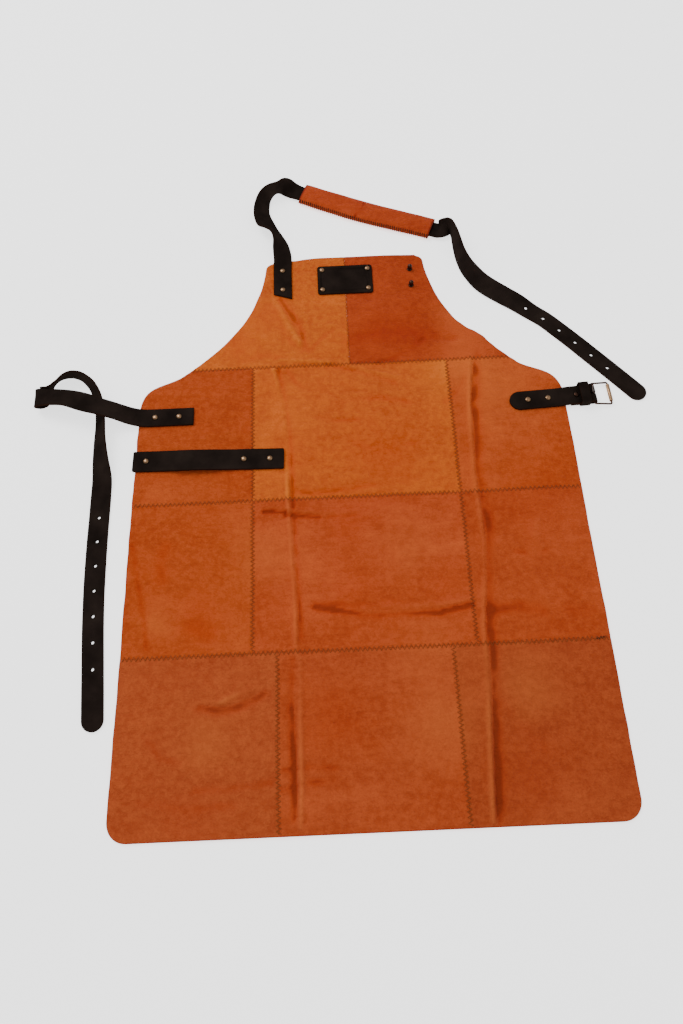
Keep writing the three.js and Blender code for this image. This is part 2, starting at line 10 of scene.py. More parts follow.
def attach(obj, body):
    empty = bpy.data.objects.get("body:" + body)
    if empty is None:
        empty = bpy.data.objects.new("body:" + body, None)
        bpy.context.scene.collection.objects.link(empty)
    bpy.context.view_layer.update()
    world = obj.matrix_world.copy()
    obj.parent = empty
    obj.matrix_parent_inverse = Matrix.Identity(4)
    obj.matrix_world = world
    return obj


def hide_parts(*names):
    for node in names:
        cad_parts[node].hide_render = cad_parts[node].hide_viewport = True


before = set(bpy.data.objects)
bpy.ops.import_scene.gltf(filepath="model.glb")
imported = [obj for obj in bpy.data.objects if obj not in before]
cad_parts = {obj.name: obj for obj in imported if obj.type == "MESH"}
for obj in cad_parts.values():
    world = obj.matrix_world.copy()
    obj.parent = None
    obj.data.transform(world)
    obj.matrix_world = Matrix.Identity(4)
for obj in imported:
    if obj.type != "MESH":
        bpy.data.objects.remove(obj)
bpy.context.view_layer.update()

# ---- sizes shared with the CAD ---------------------------------------------------------

SUEDE = 0.0020
STRAP = 0.0026
STRAP_WIDTH = 0.027
GAP = 0.0003
STRAP_TOP = 0.0049
HEM_Y = -0.310
LOWER_SEAM_Y = -0.103
MIDDLE_SEAM_Y = 0.100
BIB_SEAM_Y = 0.306
TOP_Y = 0.497
UPPER_SPLIT = 0.137
HEM_SPLIT = 0.107
HIP_Y = 0.232
TOWEL_WIDTH = 0.0305
TOWEL_BOW = 0.0047
TAB_WIDTH = 0.0285
BAR = (0.333, 0.0059)
FOLD_RADIUS = 0.0029
FRAME_TILT = 7
POST_HOLE = 0.0018        # radius of the hole a rivet's post goes through
ON_PANEL = 0.0036         # middle of a strap's thickness where it lies on a panel
PATCH_TOP = 0.0047
STATION_STEP = 0.003      # spacing of the stations along a strap


def turned(degrees, axis="Z"):
    return Matrix.Rotation(math.radians(degrees), 4, axis)


def askew(x, y, degrees):
    """Turns a strap that lies along X a little about its point at (x, y)."""
    return Matrix.Translation((x, y, 0)) @ turned(degrees) @ Matrix.Translation((-x, 0, 0))


TOWEL_LAY = askew(-0.197, 0.163, -1.3)
TAB_LAY = askew(0.300, 0.2365, 2.8)

NECK_RIVETS = [(-0.093, 0.440), (-0.093, 0.475)]
PATCH_RIVETS = [(-0.034, 0.437), (-0.034, 0.473), (0.034, 0.437), (0.034, 0.473)]
HIP_RIVETS = [(-0.272, HIP_Y), (-0.239, HIP_Y)]
TOWEL_RIVETS = [(-0.281, 0), (-0.149, 0), (-0.114, 0)]
TAB_RIVETS = [(0.243, 0), (0.271, 0), (0.310, 0)]
STUDS = [(0.0975, 0.440), (0.0975, 0.470)]


def smooth(t):
    t = min(max(t, 0.0), 1.0)
    return t * t * (3 - 2 * t)


def wander(x, y, z):
    """Smooth noise at a point, from about -1 to 1."""
    return noise.noise(Vector((x, y, z)))


def between(pairs, x):
    """Smooth interpolation in a short list of (x, value) pairs."""
    if x <= pairs[0][0]:
        return pairs[0][1]
    for (x0, v0), (x1, v1) in zip(pairs, pairs[1:]):
        if x <= x1:
            return v0 + (v1 - v0) * smooth((x - x0) / (x1 - x0))
    return pairs[-1][1]


# ---- camera and light ------------------------------------------------------------------

def add_to_scene(name, data):
    made = bpy.data.objects.new(name, data)
    bpy.context.scene.collection.objects.link(made)
    return made


CAMERA_PLACE = (-0.02103, -0.3190, 0.94009)
CAMERA_TILT = 23
CAMERA_ROLL = -2.6
camera_data = bpy.data.cameras.new("camera")
camera_data.lens = 27.42
camera_data.sensor_width = 36
camera_data.clip_start = 0.01
camera = add_to_scene("camera", camera_data)
camera.matrix_world = (Matrix.Translation(CAMERA_PLACE) @ turned(CAMERA_TILT, "X")
                       @ turned(CAMERA_ROLL))
bpy.context.scene.camera = camera


def area_light(name, place, target, size, power):
    data = bpy.data.lights.new(name, "AREA")
    data.size = size
    data.energy = power
    lamp = add_to_scene(name, data)
    lamp.location = place
    lamp.rotation_euler = (Vector(target) - Vector(place)).to_track_quat("-Z", "Y").to_euler()


area_light("key_light", (-1.3, 1.5, 2.2), (0, 0.1, 0), 1.4, 42)
area_light("fill_light", (1.6, -0.6, 2.4), (0, 0.1, 0), 2.4, 14)
world = bpy.data.worlds.new("studio")
world.use_nodes = True
world.node_tree.nodes["Background"].inputs["Color"].default_value = (1, 1, 1, 1)
world.node_tree.nodes["Background"].inputs["Strength"].default_value = 0.62
bpy.context.scene.world = world


# ---- node materials --------------------------------------------------------------------

class Shader:
    """A Principled material whose colour, roughness and bump come from small node chains."""

    def __init__(self, name, **sockets):
        self.material = bpy.data.materials.new(name)
        self.material.use_nodes = True
        self.tree = self.material.node_tree
        self.principled = self.tree.nodes["Principled BSDF"]
        for socket, value in sockets.items():
            self.principled.inputs[socket.replace("_", " ")].default_value = value
        self.coordinates = self.node("ShaderNodeTexCoord").outputs["Object"]

    def node(self, kind, **inputs):
        made = self.tree.nodes.new(kind)
        for name, value in inputs.items():
            self.feed(made.inputs[name.replace("_", " ")], value)
        return made

    def feed(self, socket, value):
        if isinstance(value, bpy.types.NodeSocket):
            self.tree.links.new(value, socket)
        else:
            socket.default_value = value

    def placed(self, offset, scale=(1, 1, 1)):
        mapping = self.node("ShaderNodeMapping", Vector=self.coordinates)
        mapping.inputs["Location"].default_value = offset
        mapping.inputs["Scale"].default_value = scale
        return mapping.outputs["Vector"]

    def noise(self, vector, scale, detail=3.0, roughness=0.55):
        made = self.node("ShaderNodeTexNoise", Vector=vector, Scale=scale, Detail=detail,
                         Roughness=roughness)
        return made.outputs["Fac"]

    def attribute(self, name):
        made = self.node("ShaderNodeAttribute")
        made.attribute_name = name
        return made.outputs["Fac"]

    def span(self, value, low, high, to_low=0.0, to_high=1.0):
        made = self.node("ShaderNodeMapRange", Value=value)
        made.inputs["From Min"].default_value = low
        made.inputs["From Max"].default_value = high
        made.inputs["To Min"].default_value = to_low
        made.inputs["To Max"].default_value = to_high
        return made.outputs["Result"]

    def mix(self, factor, first, second, blend="MIX"):
        made = self.tree.nodes.new("ShaderNodeMix")
        made.data_type = "RGBA"
        made.blend_type = blend
        self.feed(made.inputs[0], factor)
        self.feed(made.inputs[6], first if isinstance(first, bpy.types.NodeSocket) else (*first, 1))
        is_link = isinstance(second, bpy.types.NodeSocket)
        self.feed(made.inputs[7], second if is_link else (*second, 1))
        return made.outputs[2]

    def bump(self, height, depth, strength=1.0, below=None):
        made = self.node("ShaderNodeBump", Height=height, Strength=strength, Distance=depth)
        if below is not None:
            self.feed(made.inputs["Normal"], below)
        return made.outputs["Normal"]

    def finish(self, colour, roughness, normal):
        self.feed(self.principled.inputs["Base Color"], colour)
        self.feed(self.principled.inputs["Roughness"], roughness)
        self.feed(self.principled.inputs["Normal"], normal)
        return self.material


def suede(name, light, deep, offset):
    """Napped split leather: cloudy colour, fine nap and dark cut edges, with a painted highlight
    along ridges and painted shade in crease valleys and wrinkle hollows.
    """
    s = Shader(name, Sheen_Weight=0.03, Specular_IOR_Level=0.12)
    at = s.placed(offset)
    lengthwise = s.placed(offset, (1.0, 0.30, 1.0))
    crosswise = s.placed(offset, (0.30, 1.0, 1.0))
    clouds = s.span(s.noise(at, 6, 4, 0.6), 0.42, 0.58)
    blotches = s.span(s.noise(at, 12, 5, 0.64), 0.48, 0.66)
    streaks = s.span(s.noise(lengthwise, 42, 5, 0.7), 0.40, 0.64)
    wrinkles = s.noise(crosswise, 30, 6, 0.68)
    drag = s.span(s.noise(s.placed(offset, (0.18, 1.0, 1.0)), 120, 4, 0.7), 0.42, 0.62)
    pebbles = s.span(s.noise(at, 150, 3, 0.65), 0.38, 0.62)
    flecks = s.span(s.noise(at, 420, 3, 0.7), 0.36, 0.66)
    nap = s.noise(at, 1500, 2, 0.6)
    shade = [deep[0] * 0.70, deep[1] * 0.55, deep[2] * 0.60]
    # Colour of the painted highlight along fold ridges.
    highlight_colour = [min(1, light[0] * 1.15), light[1] * 1.4, light[2] * 1.3]
    ruddy = [deep[0] * 0.85, deep[1] * 0.42, deep[2] * 0.45]
    golden = [min(1, light[0] * 1.06), light[1] * 1.30, light[2] * 1.15]
    colour = s.mix(clouds, deep, light)
    # Each layer: what it is read from and over which range, its share at both ends, its colour.
    for value, low, high, at_low, at_high, towards in (
            (blotches, 0, 1, 0.0, 0.56, shade),
            (streaks, 0, 1, 0.32, 0.0, shade),
            # painted shade in the hollows of the wrinkle bump below
            (wrinkles, 0.42, 0.60, 0.42, 0.0, shade),
            (drag, 0, 1, 0.26, 0.0, shade),
            (pebbles, 0, 1, 0.0, 0.42, light),
            (flecks, 0, 1, 0.34, 0.0, shade),
            # painted highlight along fold ridges
            (s.attribute("ridge_highlight"), 0, 1, 0.0, 0.42, highlight_colour),
            (s.attribute("golden"), 0, 1, 0.0, 0.75, golden),
            (s.attribute("ruddy"), 0, 1, 0.0, 0.60, ruddy),
            # painted shade in crease valleys, the deepest nearly black; the cut edges are darkened
            # too
            (s.attribute("dark"), 0, 0.60, 0.0, 0.66, ruddy),
            (s.attribute("dark"), 0.35, 1, 0.0, 0.85, [c * 0.25 for c in deep])):
        colour = s.mix(s.span(value, low, high, at_low, at_high), colour, towards)
    rough = s.span(flecks, 0, 1, 0.86, 0.97)
    normal = s.bump(wrinkles, 0.0060, 0.60)
    normal = s.bump(flecks, 0.0006, 0.5, s.bump(pebbles, 0.0009, 0.5, normal))
    return s.finish(colour, rough, s.bump(nap, 0.0004, 0.5, normal))


def strap_leather(name, offset=(0, 0, 0)):
    """Smooth black leather with a fine grain and burnished dark brown edges."""
    s = Shader(name, Specular_IOR_Level=0.0)
    at = s.placed(offset)
    cells = s.node("ShaderNodeTexVoronoi", Vector=at, Scale=700.0).outputs["Distance"]
    grain = s.noise(at, 420, 4, 0.6)
    clouds = s.span(s.noise(at, 26, 3, 0.6), 0.35, 0.7)
    colour = s.mix(clouds, (0.0115, 0.0080, 0.0066), (0.0230, 0.0155, 0.0125))
    colour = s.mix(s.span(s.attribute("dark"), 0, 1, 0, 0.85), colour, (0.020, 0.008, 0.005))
    rough = s.span(clouds, 0, 1, 0.50, 0.64)
    normal = s.bump(cells, 0.00025, 0.35, s.bump(grain, 0.0003, 0.4))
    return s.finish(colour, rough, normal)


def plated(name, bright, dull, roughness):
    """Antiqued metal: bright where it is scuffed, dull in patches, darker near a rim; on the rivet
    caps that is painted shade.
    """
    s = Shader(name, Metallic=1.0)
    at = s.placed((0.1, 0.2, 0.3))
    patina = s.span(s.noise(at, 420, 4, 0.65), 0.35, 0.68)
    scratches = s.noise(s.placed((0, 0, 0), (1, 6, 1)), 900, 2, 0.6)
    colour = s.mix(patina, bright, dull)
    # Where the dark attribute is set the colour goes almost black; on the rivet caps this is
    # painted shade.
    colour = s.mix(s.span(s.attribute("dark"), 0, 1, 0, 0.9), colour, [c * 0.25 for c in dull])
    rough = s.span(patina, 0, 1, roughness, roughness + 0.22)
    return s.finish(colour, rough, s.bump(scratches, 0.00008, 0.4))


def thread_material(name, dim, lit):
    s = Shader(name, Specular_IOR_Level=0.2)
    twist = s.node("ShaderNodeTexWave", Vector=s.placed((0, 0, 0)), Scale=900.0).outputs["Fac"]
    colour = s.mix(s.span(twist, 0, 1, 0, 1), dim, lit)
    return s.finish(colour, 0.8, s.bump(twist, 0.0002, 0.5))


GOLD = ((0.820, 0.198, 0.0230), (0.640, 0.118, 0.0120))
HONEY = ((0.810, 0.180, 0.0220), (0.620, 0.108, 0.0115))
TAWNY = ((0.670, 0.122, 0.0225), (0.500, 0.070, 0.0120))
FOX = ((0.670, 0.118, 0.0260), (0.500, 0.067, 0.0142))
SAND = ((0.648, 0.136, 0.0330), (0.486, 0.082, 0.0185))
RUST = ((0.590, 0.086, 0.0190), (0.425, 0.049, 0.0100))
CLAY = ((0.655, 0.122, 0.0290), (0.490, 0.072, 0.0160))
UMBER = ((0.580, 0.112, 0.0270), (0.418, 0.066, 0.0150))
black = strap_leather("black_strap_leather")
copper = plated("antique_copper", (0.50, 0.31, 0.17), (0.19, 0.10, 0.055), 0.22)
bronze = plated("dark_bronze", (0.085, 0.042, 0.028), (0.030, 0.015, 0.011), 0.28)
thread = thread_material("seam_thread", (0.175, 0.036, 0.010), (0.360, 0.092, 0.023))
bib_thread = thread_material("bib_thread", (0.330, 0.066, 0.012), (0.480, 0.120, 0.025))
cord_thread = thread_material("sleeve_thread", (0.022, 0.007, 0.004), (0.060, 0.018, 0.008))


# ---- mesh helpers ----------------------------------------------------------------------

def make_object(name, vertices, faces, material, attributes=None, flat=False):
    mesh = bpy.data.meshes.new(name)
    mesh.from_pydata([tuple(v) for v in vertices], [], faces)
    mesh.validate()
    work = bmesh.new()
    work.from_mesh(mesh)
    bmesh.ops.recalc_face_normals(work, faces=work.faces)
    work.to_mesh(mesh)
    work.free()
    for key, values in (attributes or {}).items():
        mesh.attributes.new(key, "FLOAT", "POINT").data.foreach_set("value", values)
    mesh.polygons.foreach_set("use_smooth", [not flat] * len(mesh.polygons))
    mesh.materials.append(material)
    return add_to_scene(name + "_look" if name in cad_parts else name, mesh)


def dress(piece, body, node=None):
    """The piece rides on body; it stands for a CAD node, which is hidden."""
    bpy.context.view_layer.update()
    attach(piece, body)
    if node:
        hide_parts(node)


def apply_boolean(target, cutters, operation="DIFFERENCE"):
    for cutter in cutters:
        modifier = target.modifiers.new("boolean", "BOOLEAN")
        modifier.operation = operation
        modifier.solver = "EXACT"
        modifier.object = cutter
    bpy.context.view_layer.objects.active = target
    for modifier in list(target.modifiers):
        bpy.ops.object.modifier_apply(modifier=modifier.name)
    for cutter in cutters:
        bpy.data.objects.remove(cutter)


def bridge(faces, first, second, count):
    """Quads between two rings of count points that start at the given indices."""
    for i in range(count):
        j = (i + 1) % count
        faces.append((first + i, first + j, second + j, second + i))


def skin(faces, start, count, ring, closed=False):
    """Faces round count rings of ring points each, with caps on the ends if it isn't closed."""
    for i in range(count if closed else count - 1):
        bridge(faces, start + i * ring, start + ((i + 1) % count) * ring, ring)
    if not closed:
        faces.append(tuple(range(start + ring - 1, start - 1, -1)))
        faces.append(tuple(start + (count - 1) * ring + k for k in range(ring)))


def lathe(name, profile, dark, material, segments=36, closed=False):
    """profile: (radius, height) pairs turned about Z, from axis to axis, or closed round the
    wall of a tube. dark: their tones."""
    vertices = []
    tones = []
    rings = []
    for (radius, height), tone in zip(profile, dark):
        count = 1 if radius == 0 else segments
        rings.append((len(vertices), count))
        for i in range(count):
            a = 2 * math.pi * i / segments
            vertices.append((radius * math.cos(a), radius * math.sin(a), height))
            tones.append(tone)
    faces = []
    for (a, na), (b, nb) in zip(rings, rings[1:] + rings[:closed]):
        for i in range(segments):
            j = (i + 1) % segments
            if na == 1:
                faces.append((a, b + i, b + j))
            elif nb == 1:
                faces.append((a + i, a + j, b))
            else:
                faces.append((a + i, a + j, b + j, b + i))
    return make_object(name, vertices, faces, material, {"dark": tones})


def tube(vertices, faces, points, radius, sides=6, closed=False, taper=1.0):
    """Adds a round tube along points to vertices and faces."""
    start = len(vertices)
    count = len(points)
    for i, point in enumerate(points):
        before = points[(i - 1) % count] if closed or i else points[0]
        after = points[(i + 1) % count] if closed or i + 1 < count else points[-1]
        along = (Vector(after) - Vector(before)).normalized()
        side = along.cross(Vector((0, 0, 1)))
        if side.length < 0.05:
            side = along.cross(Vector((0, 1, 0)))
        side.normalize()
        up = side.cross(along)
        r = radius * (1 + (taper - 1) * i / max(count - 1, 1))
        for k in range(sides):
            a = 2 * math.pi * k / sides
            vertices.append(Vector(point) + side * r * math.cos(a) + up * r * math.sin(a))
    skin(faces, start, count, sides, closed)


def wire(name, points, radius, sides, material, closed=False, taper=1.0):
    """A round tube along points as an object of its own."""
    vertices = []
    faces = []
    tube(vertices, faces, points, radius, sides, closed, taper)
    return make_object(name, vertices, faces, material)


def cylinder(radius, low, high):
    return wire("cutter", [low, high], radius, 20, black)


def block(low, high):
    xs, ys, zs = zip(low, high)
    corners = [(x, y, z) for x in xs for y in ys for z in zs]
    faces = [(0, 1, 3, 2), (4, 6, 7, 5), (0, 4, 5, 1), (2, 3, 7, 6), (0, 2, 6, 4), (1, 5, 7, 3)]
    return make_object("cutter", corners, faces, black)


# ---- leather straps --------------------------------------------------------------------

def strap_profile(width, thick):
    """(across, up, dark) points round a strap's section, with rounded and darkened edges."""
    w, t = width / 2, thick / 2
    edge = [(w, 0.4 * t, 1.0), (w - 0.15 * t, 0.8 * t, 0.9), (w - 0.55 * t, t, 0.5),
            (w - 1.5 * t, t, 0.0), (w * 0.5, t * 1.03, 0.0)]
    half = [(-x, y, d) for x, y, d in edge] + [(0, t * 1.04, 0.0)] + edge[::-1]
    return half + [(x, -y, d) for x, y, d in reversed(half)]


def sweep_strap(name, stations, width=STRAP_WIDTH, thick=STRAP, closed=False, cut=0.0):
    """stations: (centre, across, share of the width) along the strap. cut slants its first end."""
    profile = strap_profile(width, thick)
    vertices = []
    tones = []
    count = len(stations)
    walked = 0.0
    for i, (centre, across, share) in enumerate(stations):
        before = stations[(i - 1) % count][0] if closed or i else centre
        after = stations[(i + 1) % count][0] if closed or i + 1 < count else centre
        along = (after - before).normalized()
        across = (across - along * across.dot(along)).normalized()
        up = along.cross(across)
        if i:
            walked += (centre - stations[i - 1][0]).length
        slant = cut * max(0.0, 1 - walked / 0.014)
        ragged = 1 + 0.010 * noise.noise(centre * 25)
        for x, z, dark in profile:
            shift = along * slant * (0.5 - x / width)
            vertices.append(centre + across * x * share * ragged + up * z + shift)
            tones.append(dark if share > 0.3 else 1.0)
    faces = []
    skin(faces, 0, count, len(profile), closed)
    return make_object(name, vertices, faces, black, {"dark": tones})


def catmull_rom(rows, t):
    """Point and width direction at t along rows, counted in rows."""
    i = min(int(t), len(rows) - 2)
    u = t - i

    def row(k):
        if k < 0:
            return [2 * a - b for a, b in zip(rows[0], rows[1])]
        if k >= len(rows):
            return [2 * a - b for a, b in zip(rows[-1], rows[-2])]
        return rows[k]

    p0, p1, p2, p3 = row(i - 1), row(i), row(i + 1), row(i + 2)
    values = []
    for a, b, c, d in zip(p0, p1, p2, p3):
        values.append(0.5 * (2 * b + (c - a) * u + (2 * a - 5 * b + 4 * c - d) * u * u
                             + (3 * b - a - 3 * c + d) * u ** 3))
    return Vector(values[:3]), Vector(values[3:])


def route_stations(rows):
    """Evenly spaced stations along a route, with a half-round free end, and its length."""
    per_row = 24  # fine points from each row to the next
    fine = [catmull_rom(rows, k / per_row) for k in range(per_row * (len(rows) - 1) + 1)]
    lengths = [0.0]
    for (a, _), (b, _) in zip(fine, fine[1:]):
        lengths.append(lengths[-1] + (b - a).length)
    total = lengths[-1]

    def at(distance):
        low, high = 0, len(lengths) - 1
        while high - low > 1:
            k = (low + high) // 2
            if lengths[k] <= distance:
                low = k
            else:
                high = k
        f = (distance - lengths[low]) / max(lengths[high] - lengths[low], 1e-9)
        return fine[low][0].lerp(fine[high][0], f), fine[low][1].lerp(fine[high][1], f)

    radius = STRAP_WIDTH / 2
    straight = total - radius
    count = round(straight / STATION_STEP)
    stations = [(*at(straight * k / count), 1.0) for k in range(count + 1)]
    for degrees in (15, 30, 45, 60, 72, 82, 88):
        a = math.radians(degrees)
        stations.append((*at(straight + radius * math.sin(a)), math.cos(a)))
    return stations, total, at


def rivet_holes(places, top=0.009):
    return [cylinder(POST_HOLE, (x, y, 0.001), (x, y, top)) for x, y in places]


def hole_cutters(at, total, from_end, pitch, count, radius):
    cutters = []
    for k in range(count):
        distance = total - from_end - k * pitch
        centre, across = at(distance)
        ahead, _ = at(distance + 0.001)
        up = (ahead - centre).normalized().cross(across).normalized()
        cutters.append(cylinder(radius, centre - up * 0.004, centre + up * 0.004))
    return cutters


# Each row of a route is a point on the strap's centre line, then the way its width points.
NECK_ROUTE = [
    (-0.093, 0.424, 0.0036, 1, 0, 0),
    (-0.093, 0.45, 0.0036, 1, 0, 0),
    (-0.093, 0.478, 0.0036, 1, 0, 0),
    (-0.0925, 0.498, 0.0044, 1, 0, -0.08),
    (-0.094, 0.514, 0.0075, 0.92, 0.1, -0.36),
    (-0.096, 0.528, 0.0115, 0.7, 0.15, -0.7),
    (-0.1015, 0.541, 0.0137, 0.56, 0.3, -0.77),
    (-0.11, 0.552, 0.0132, 0.6, 0.5, -0.62),
    (-0.118, 0.5635, 0.0112, 0.84, 0.5, -0.28),
    (-0.122, 0.575, 0.0106, 0.93, 0.22, -0.32),
    (-0.1235, 0.587, 0.0112, 0.85, 0.05, -0.52),
    (-0.122, 0.6, 0.0124, 0.7, -0.05, -0.7),
    (-0.1175, 0.614, 0.0139, 0.5, 0, -0.86),
    (-0.109, 0.625, 0.0144, 0.3, 0.15, -0.94),
    (-0.098, 0.6315, 0.0144, 0.05, 0.15, -0.98),
    (-0.0865, 0.634, 0.0126, -0.12, -0.5, -0.8),
    (-0.0745, 0.6313, 0.0066, -0.35, -0.88, -0.22),
    (-0.061, 0.6256, 0.0046, -0.387, -0.922, 0),
    (-0.03, 0.6126, 0.0046, -0.387, -0.922, 0),
    (0.02, 0.5916, 0.0046, -0.387, -0.922, 0),
    (0.07, 0.5706, 0.0046, -0.387, -0.922, 0),
    (0.11, 0.5538, 0.0046, -0.387, -0.922, 0),
    (0.142, 0.5404, 0.0047, -0.387, -0.922, 0),
    (0.149, 0.5384, 0.007, -0.32, -0.88, -0.34),
    (0.156, 0.5396, 0.0114, -0.15, -0.6, -0.78),
    (0.1625, 0.54, 0.0142, -0.1, -0.05, -1),
    (0.167, 0.531, 0.0146, -0.08, 0, -1),
    (0.1695, 0.516, 0.0144, -0.22, 0, -0.97),
    (0.1713, 0.501, 0.014, -0.3, 0, -0.95),
    (0.174, 0.4835, 0.0136, -0.36, -0.05, -0.93),
    (0.18, 0.464, 0.013, -0.45, -0.15, -0.88),
    (0.1885, 0.448, 0.0125, -0.52, -0.28, -0.8),
    (0.198, 0.435, 0.0112, -0.56, -0.4, -0.68),
    (0.211, 0.4235, 0.0094, -0.56, -0.56, -0.55),
    (0.23, 0.41, 0.0074, -0.54, -0.72, -0.42),
    (0.249, 0.397, 0.0053, -0.58, -0.76, -0.26),
    (0.267, 0.383, 0.0024, -0.66, -0.74, -0.04),
    (0.286, 0.3675, 0.0016, -0.7, -0.7, 0),
    (0.304, 0.348, 0.0016, -0.74, -0.67, 0),
    (0.3235, 0.326, 0.0016, -0.76, -0.65, 0),
    (0.343, 0.303, 0.0016, -0.77, -0.63, 0),
    (0.3625, 0.28, 0.0016, -0.78, -0.62, 0),
    (0.383, 0.2555, 0.0016, -0.78, -0.62, 0),
    (0.404, 0.23, 0.0016, -0.78, -0.62, 0),
]
HIP_ROUTE = [
    (-0.219, 0.232, 0.0036, 0, 1, 0),
    (-0.245, 0.232, 0.0036, 0, 1, 0),
    (-0.272, 0.232, 0.0036, 0, 1, 0),
    (-0.29, 0.2325, 0.0042, 0, 1, 0),
    (-0.306, 0.234, 0.0095, 0.1, 1, -0.05),
    (-0.325, 0.2375, 0.019, 0.15, 1, -0.12),
    (-0.344, 0.24, 0.0285, 0.2, 1, -0.1),
    (-0.364, 0.246, 0.031, 0.25, 1, 0.1),
    (-0.388, 0.2555, 0.028, 0.15, 1, -0.16),
    (-0.41, 0.2605, 0.024, 0, 1, -0.15),
    (-0.426, 0.2635, 0.02, 0, 1, -0.02),
    (-0.4355, 0.2655, 0.0155, 0, 1, 0.05),
    (-0.438, 0.267, 0.0105, 0, 1, 0.05),
    (-0.435, 0.2685, 0.0055, -0.02, 1, 0.08),
    (-0.429, 0.271, 0.0046, -0.08, 0.98, 0.2),
    (-0.4225, 0.2755, 0.0108, 0.05, 0.7, 0.7),
    (-0.4165, 0.281, 0.014, 0.25, -0.05, 0.95),
    (-0.4135, 0.2875, 0.0138, 0.3, -0.4, 0.87),
    (-0.409, 0.2942, 0.0137, 0.3, -0.4, 0.87),
    (-0.4015, 0.2995, 0.0139, 0.29, -0.3, 0.91),
    (-0.3905, 0.3018, 0.014, 0.27, -0.22, 0.94),
    (-0.378, 0.2983, 0.014, 0.3, -0.16, 0.94),
    (-0.367, 0.2895, 0.014, 0.38, -0.1, 0.93),
    (-0.3585, 0.2785, 0.0138, 0.44, 0, 0.9),
    (-0.3515, 0.262, 0.013, 0.54, 0.03, 0.82),
    (-0.347, 0.243, 0.0122, 0.62, 0, 0.78),
    (-0.345, 0.222, 0.0117, 0.66, 0, 0.75),
    (-0.344, 0.196, 0.0107, 0.74, 0, 0.66),
    (-0.3415, 0.168, 0.0082, 0.88, 0, 0.46),
    (-0.3385, 0.142, 0.0039, 0.98, 0, 0.12),
    (-0.3385, 0.116, 0.0018, 1, 0, 0),
    (-0.3385, 0.087, 0.0016, 1, 0, 0),
    (-0.3385, 0.054, 0.0016, 1, 0, 0),
    (-0.338, 0.018, 0.0016, 1, 0.02, 0),
    (-0.337, -0.018, 0.0016, 1, 0.04, 0),
    (-0.3345, -0.064, 0.0016, 1, 0.06, 0),
    (-0.33, -0.122, 0.0016, 1, 0.08, 0),
    (-0.325, -0.187, 0.0016, 1, 0.08, 0),
]


def add_long_strap(name, rows, rivets, holes, cut=0.0):
    stations, total, at = route_stations(rows)
    strap = sweep_strap(name, stations, cut=cut)
    apply_boolean(strap, hole_cutters(at, total, *holes) + rivet_holes(rivets, 0.008))
    dress(strap, "apron", name)


# Holes: the first one's distance from the free end, their pitch, their number and radius.
add_long_strap("neck_strap", NECK_ROUTE, NECK_RIVETS, (0.066, 0.0295, 6, 0.0022), cut=0.009)
add_long_strap("hip_strap", HIP_ROUTE, HIP_RIVETS, (0.074, 0.0333, 7, 0.0020))


# ---- the suede apron -------------------------------------------------------------------

def bezier(p0, p1, p2, p3, steps):
    points = []
    for k in range(steps + 1):
        t = k / steps
        a, b, c, d = (1 - t) ** 3, 3 * (1 - t) ** 2 * t, 3 * (1 - t) * t * t, t ** 3
        points.append(tuple(a * q0 + b * q1 + c * q2 + d * q3
                            for q0, q1, q2, q3 in zip(p0, p1, p2, p3)))
    return points


SHOULDER = bezier((0.295, 0.238), (0.294, 0.290), (0.262, 0.279), (0.235, 0.299), 24)
ARMHOLE = bezier((0.235, 0.299), (0.155, 0.357), (0.127, 0.414), (0.118, 0.486), 40)
SIDE = [(0.301, HEM_Y + 0.024)] + SHOULDER + ARMHOLE[1:]


def half_width(y):
    """The apron's half width at y, with rounded corners at the hem and at the bib's top."""
    if y < SIDE[0][1]:
        drop = min(SIDE[0][1] - y, 0.024)
        return 0.277 + math.sqrt(max(0.024 ** 2 - drop ** 2, 0))
    if y > SIDE[-1][1]:
        rise = min(y - SIDE[-1][1], 0.011)
        return 0.107 + math.sqrt(max(0.011 ** 2 - rise ** 2, 0))
    for (x0, y0), (x1, y1) in zip(SIDE, SIDE[1:]):
        if y <= y1:
            return x0 + (x1 - x0) * (y - y0) / (y1 - y0)
    return SIDE[-1][0]


# A flap of the right armhole's edge stands out where the leather is creased.
RIGHT_FLAP = [(0.296, 0), (0.304, 0.002), (0.319, 0.005), (0.332, 0.008), (0.344, 0.011),
              (0.352, 0.009), (0.362, 0.003), (0.378, 0)]
TOP_EDGE = [(-0.118, -0.004), (-0.077, -0.001), (-0.035, 0.002), (0.03, 0.0018), (0.118, -0.0012)]


def side_x(y, sign):
    ragged = 0.0006 * wander(sign * 3, y * 45, 0.5)
    flap = between(RIGHT_FLAP, y) if sign > 0 else 0.0
    return sign * (half_width(y) + flap + ragged)
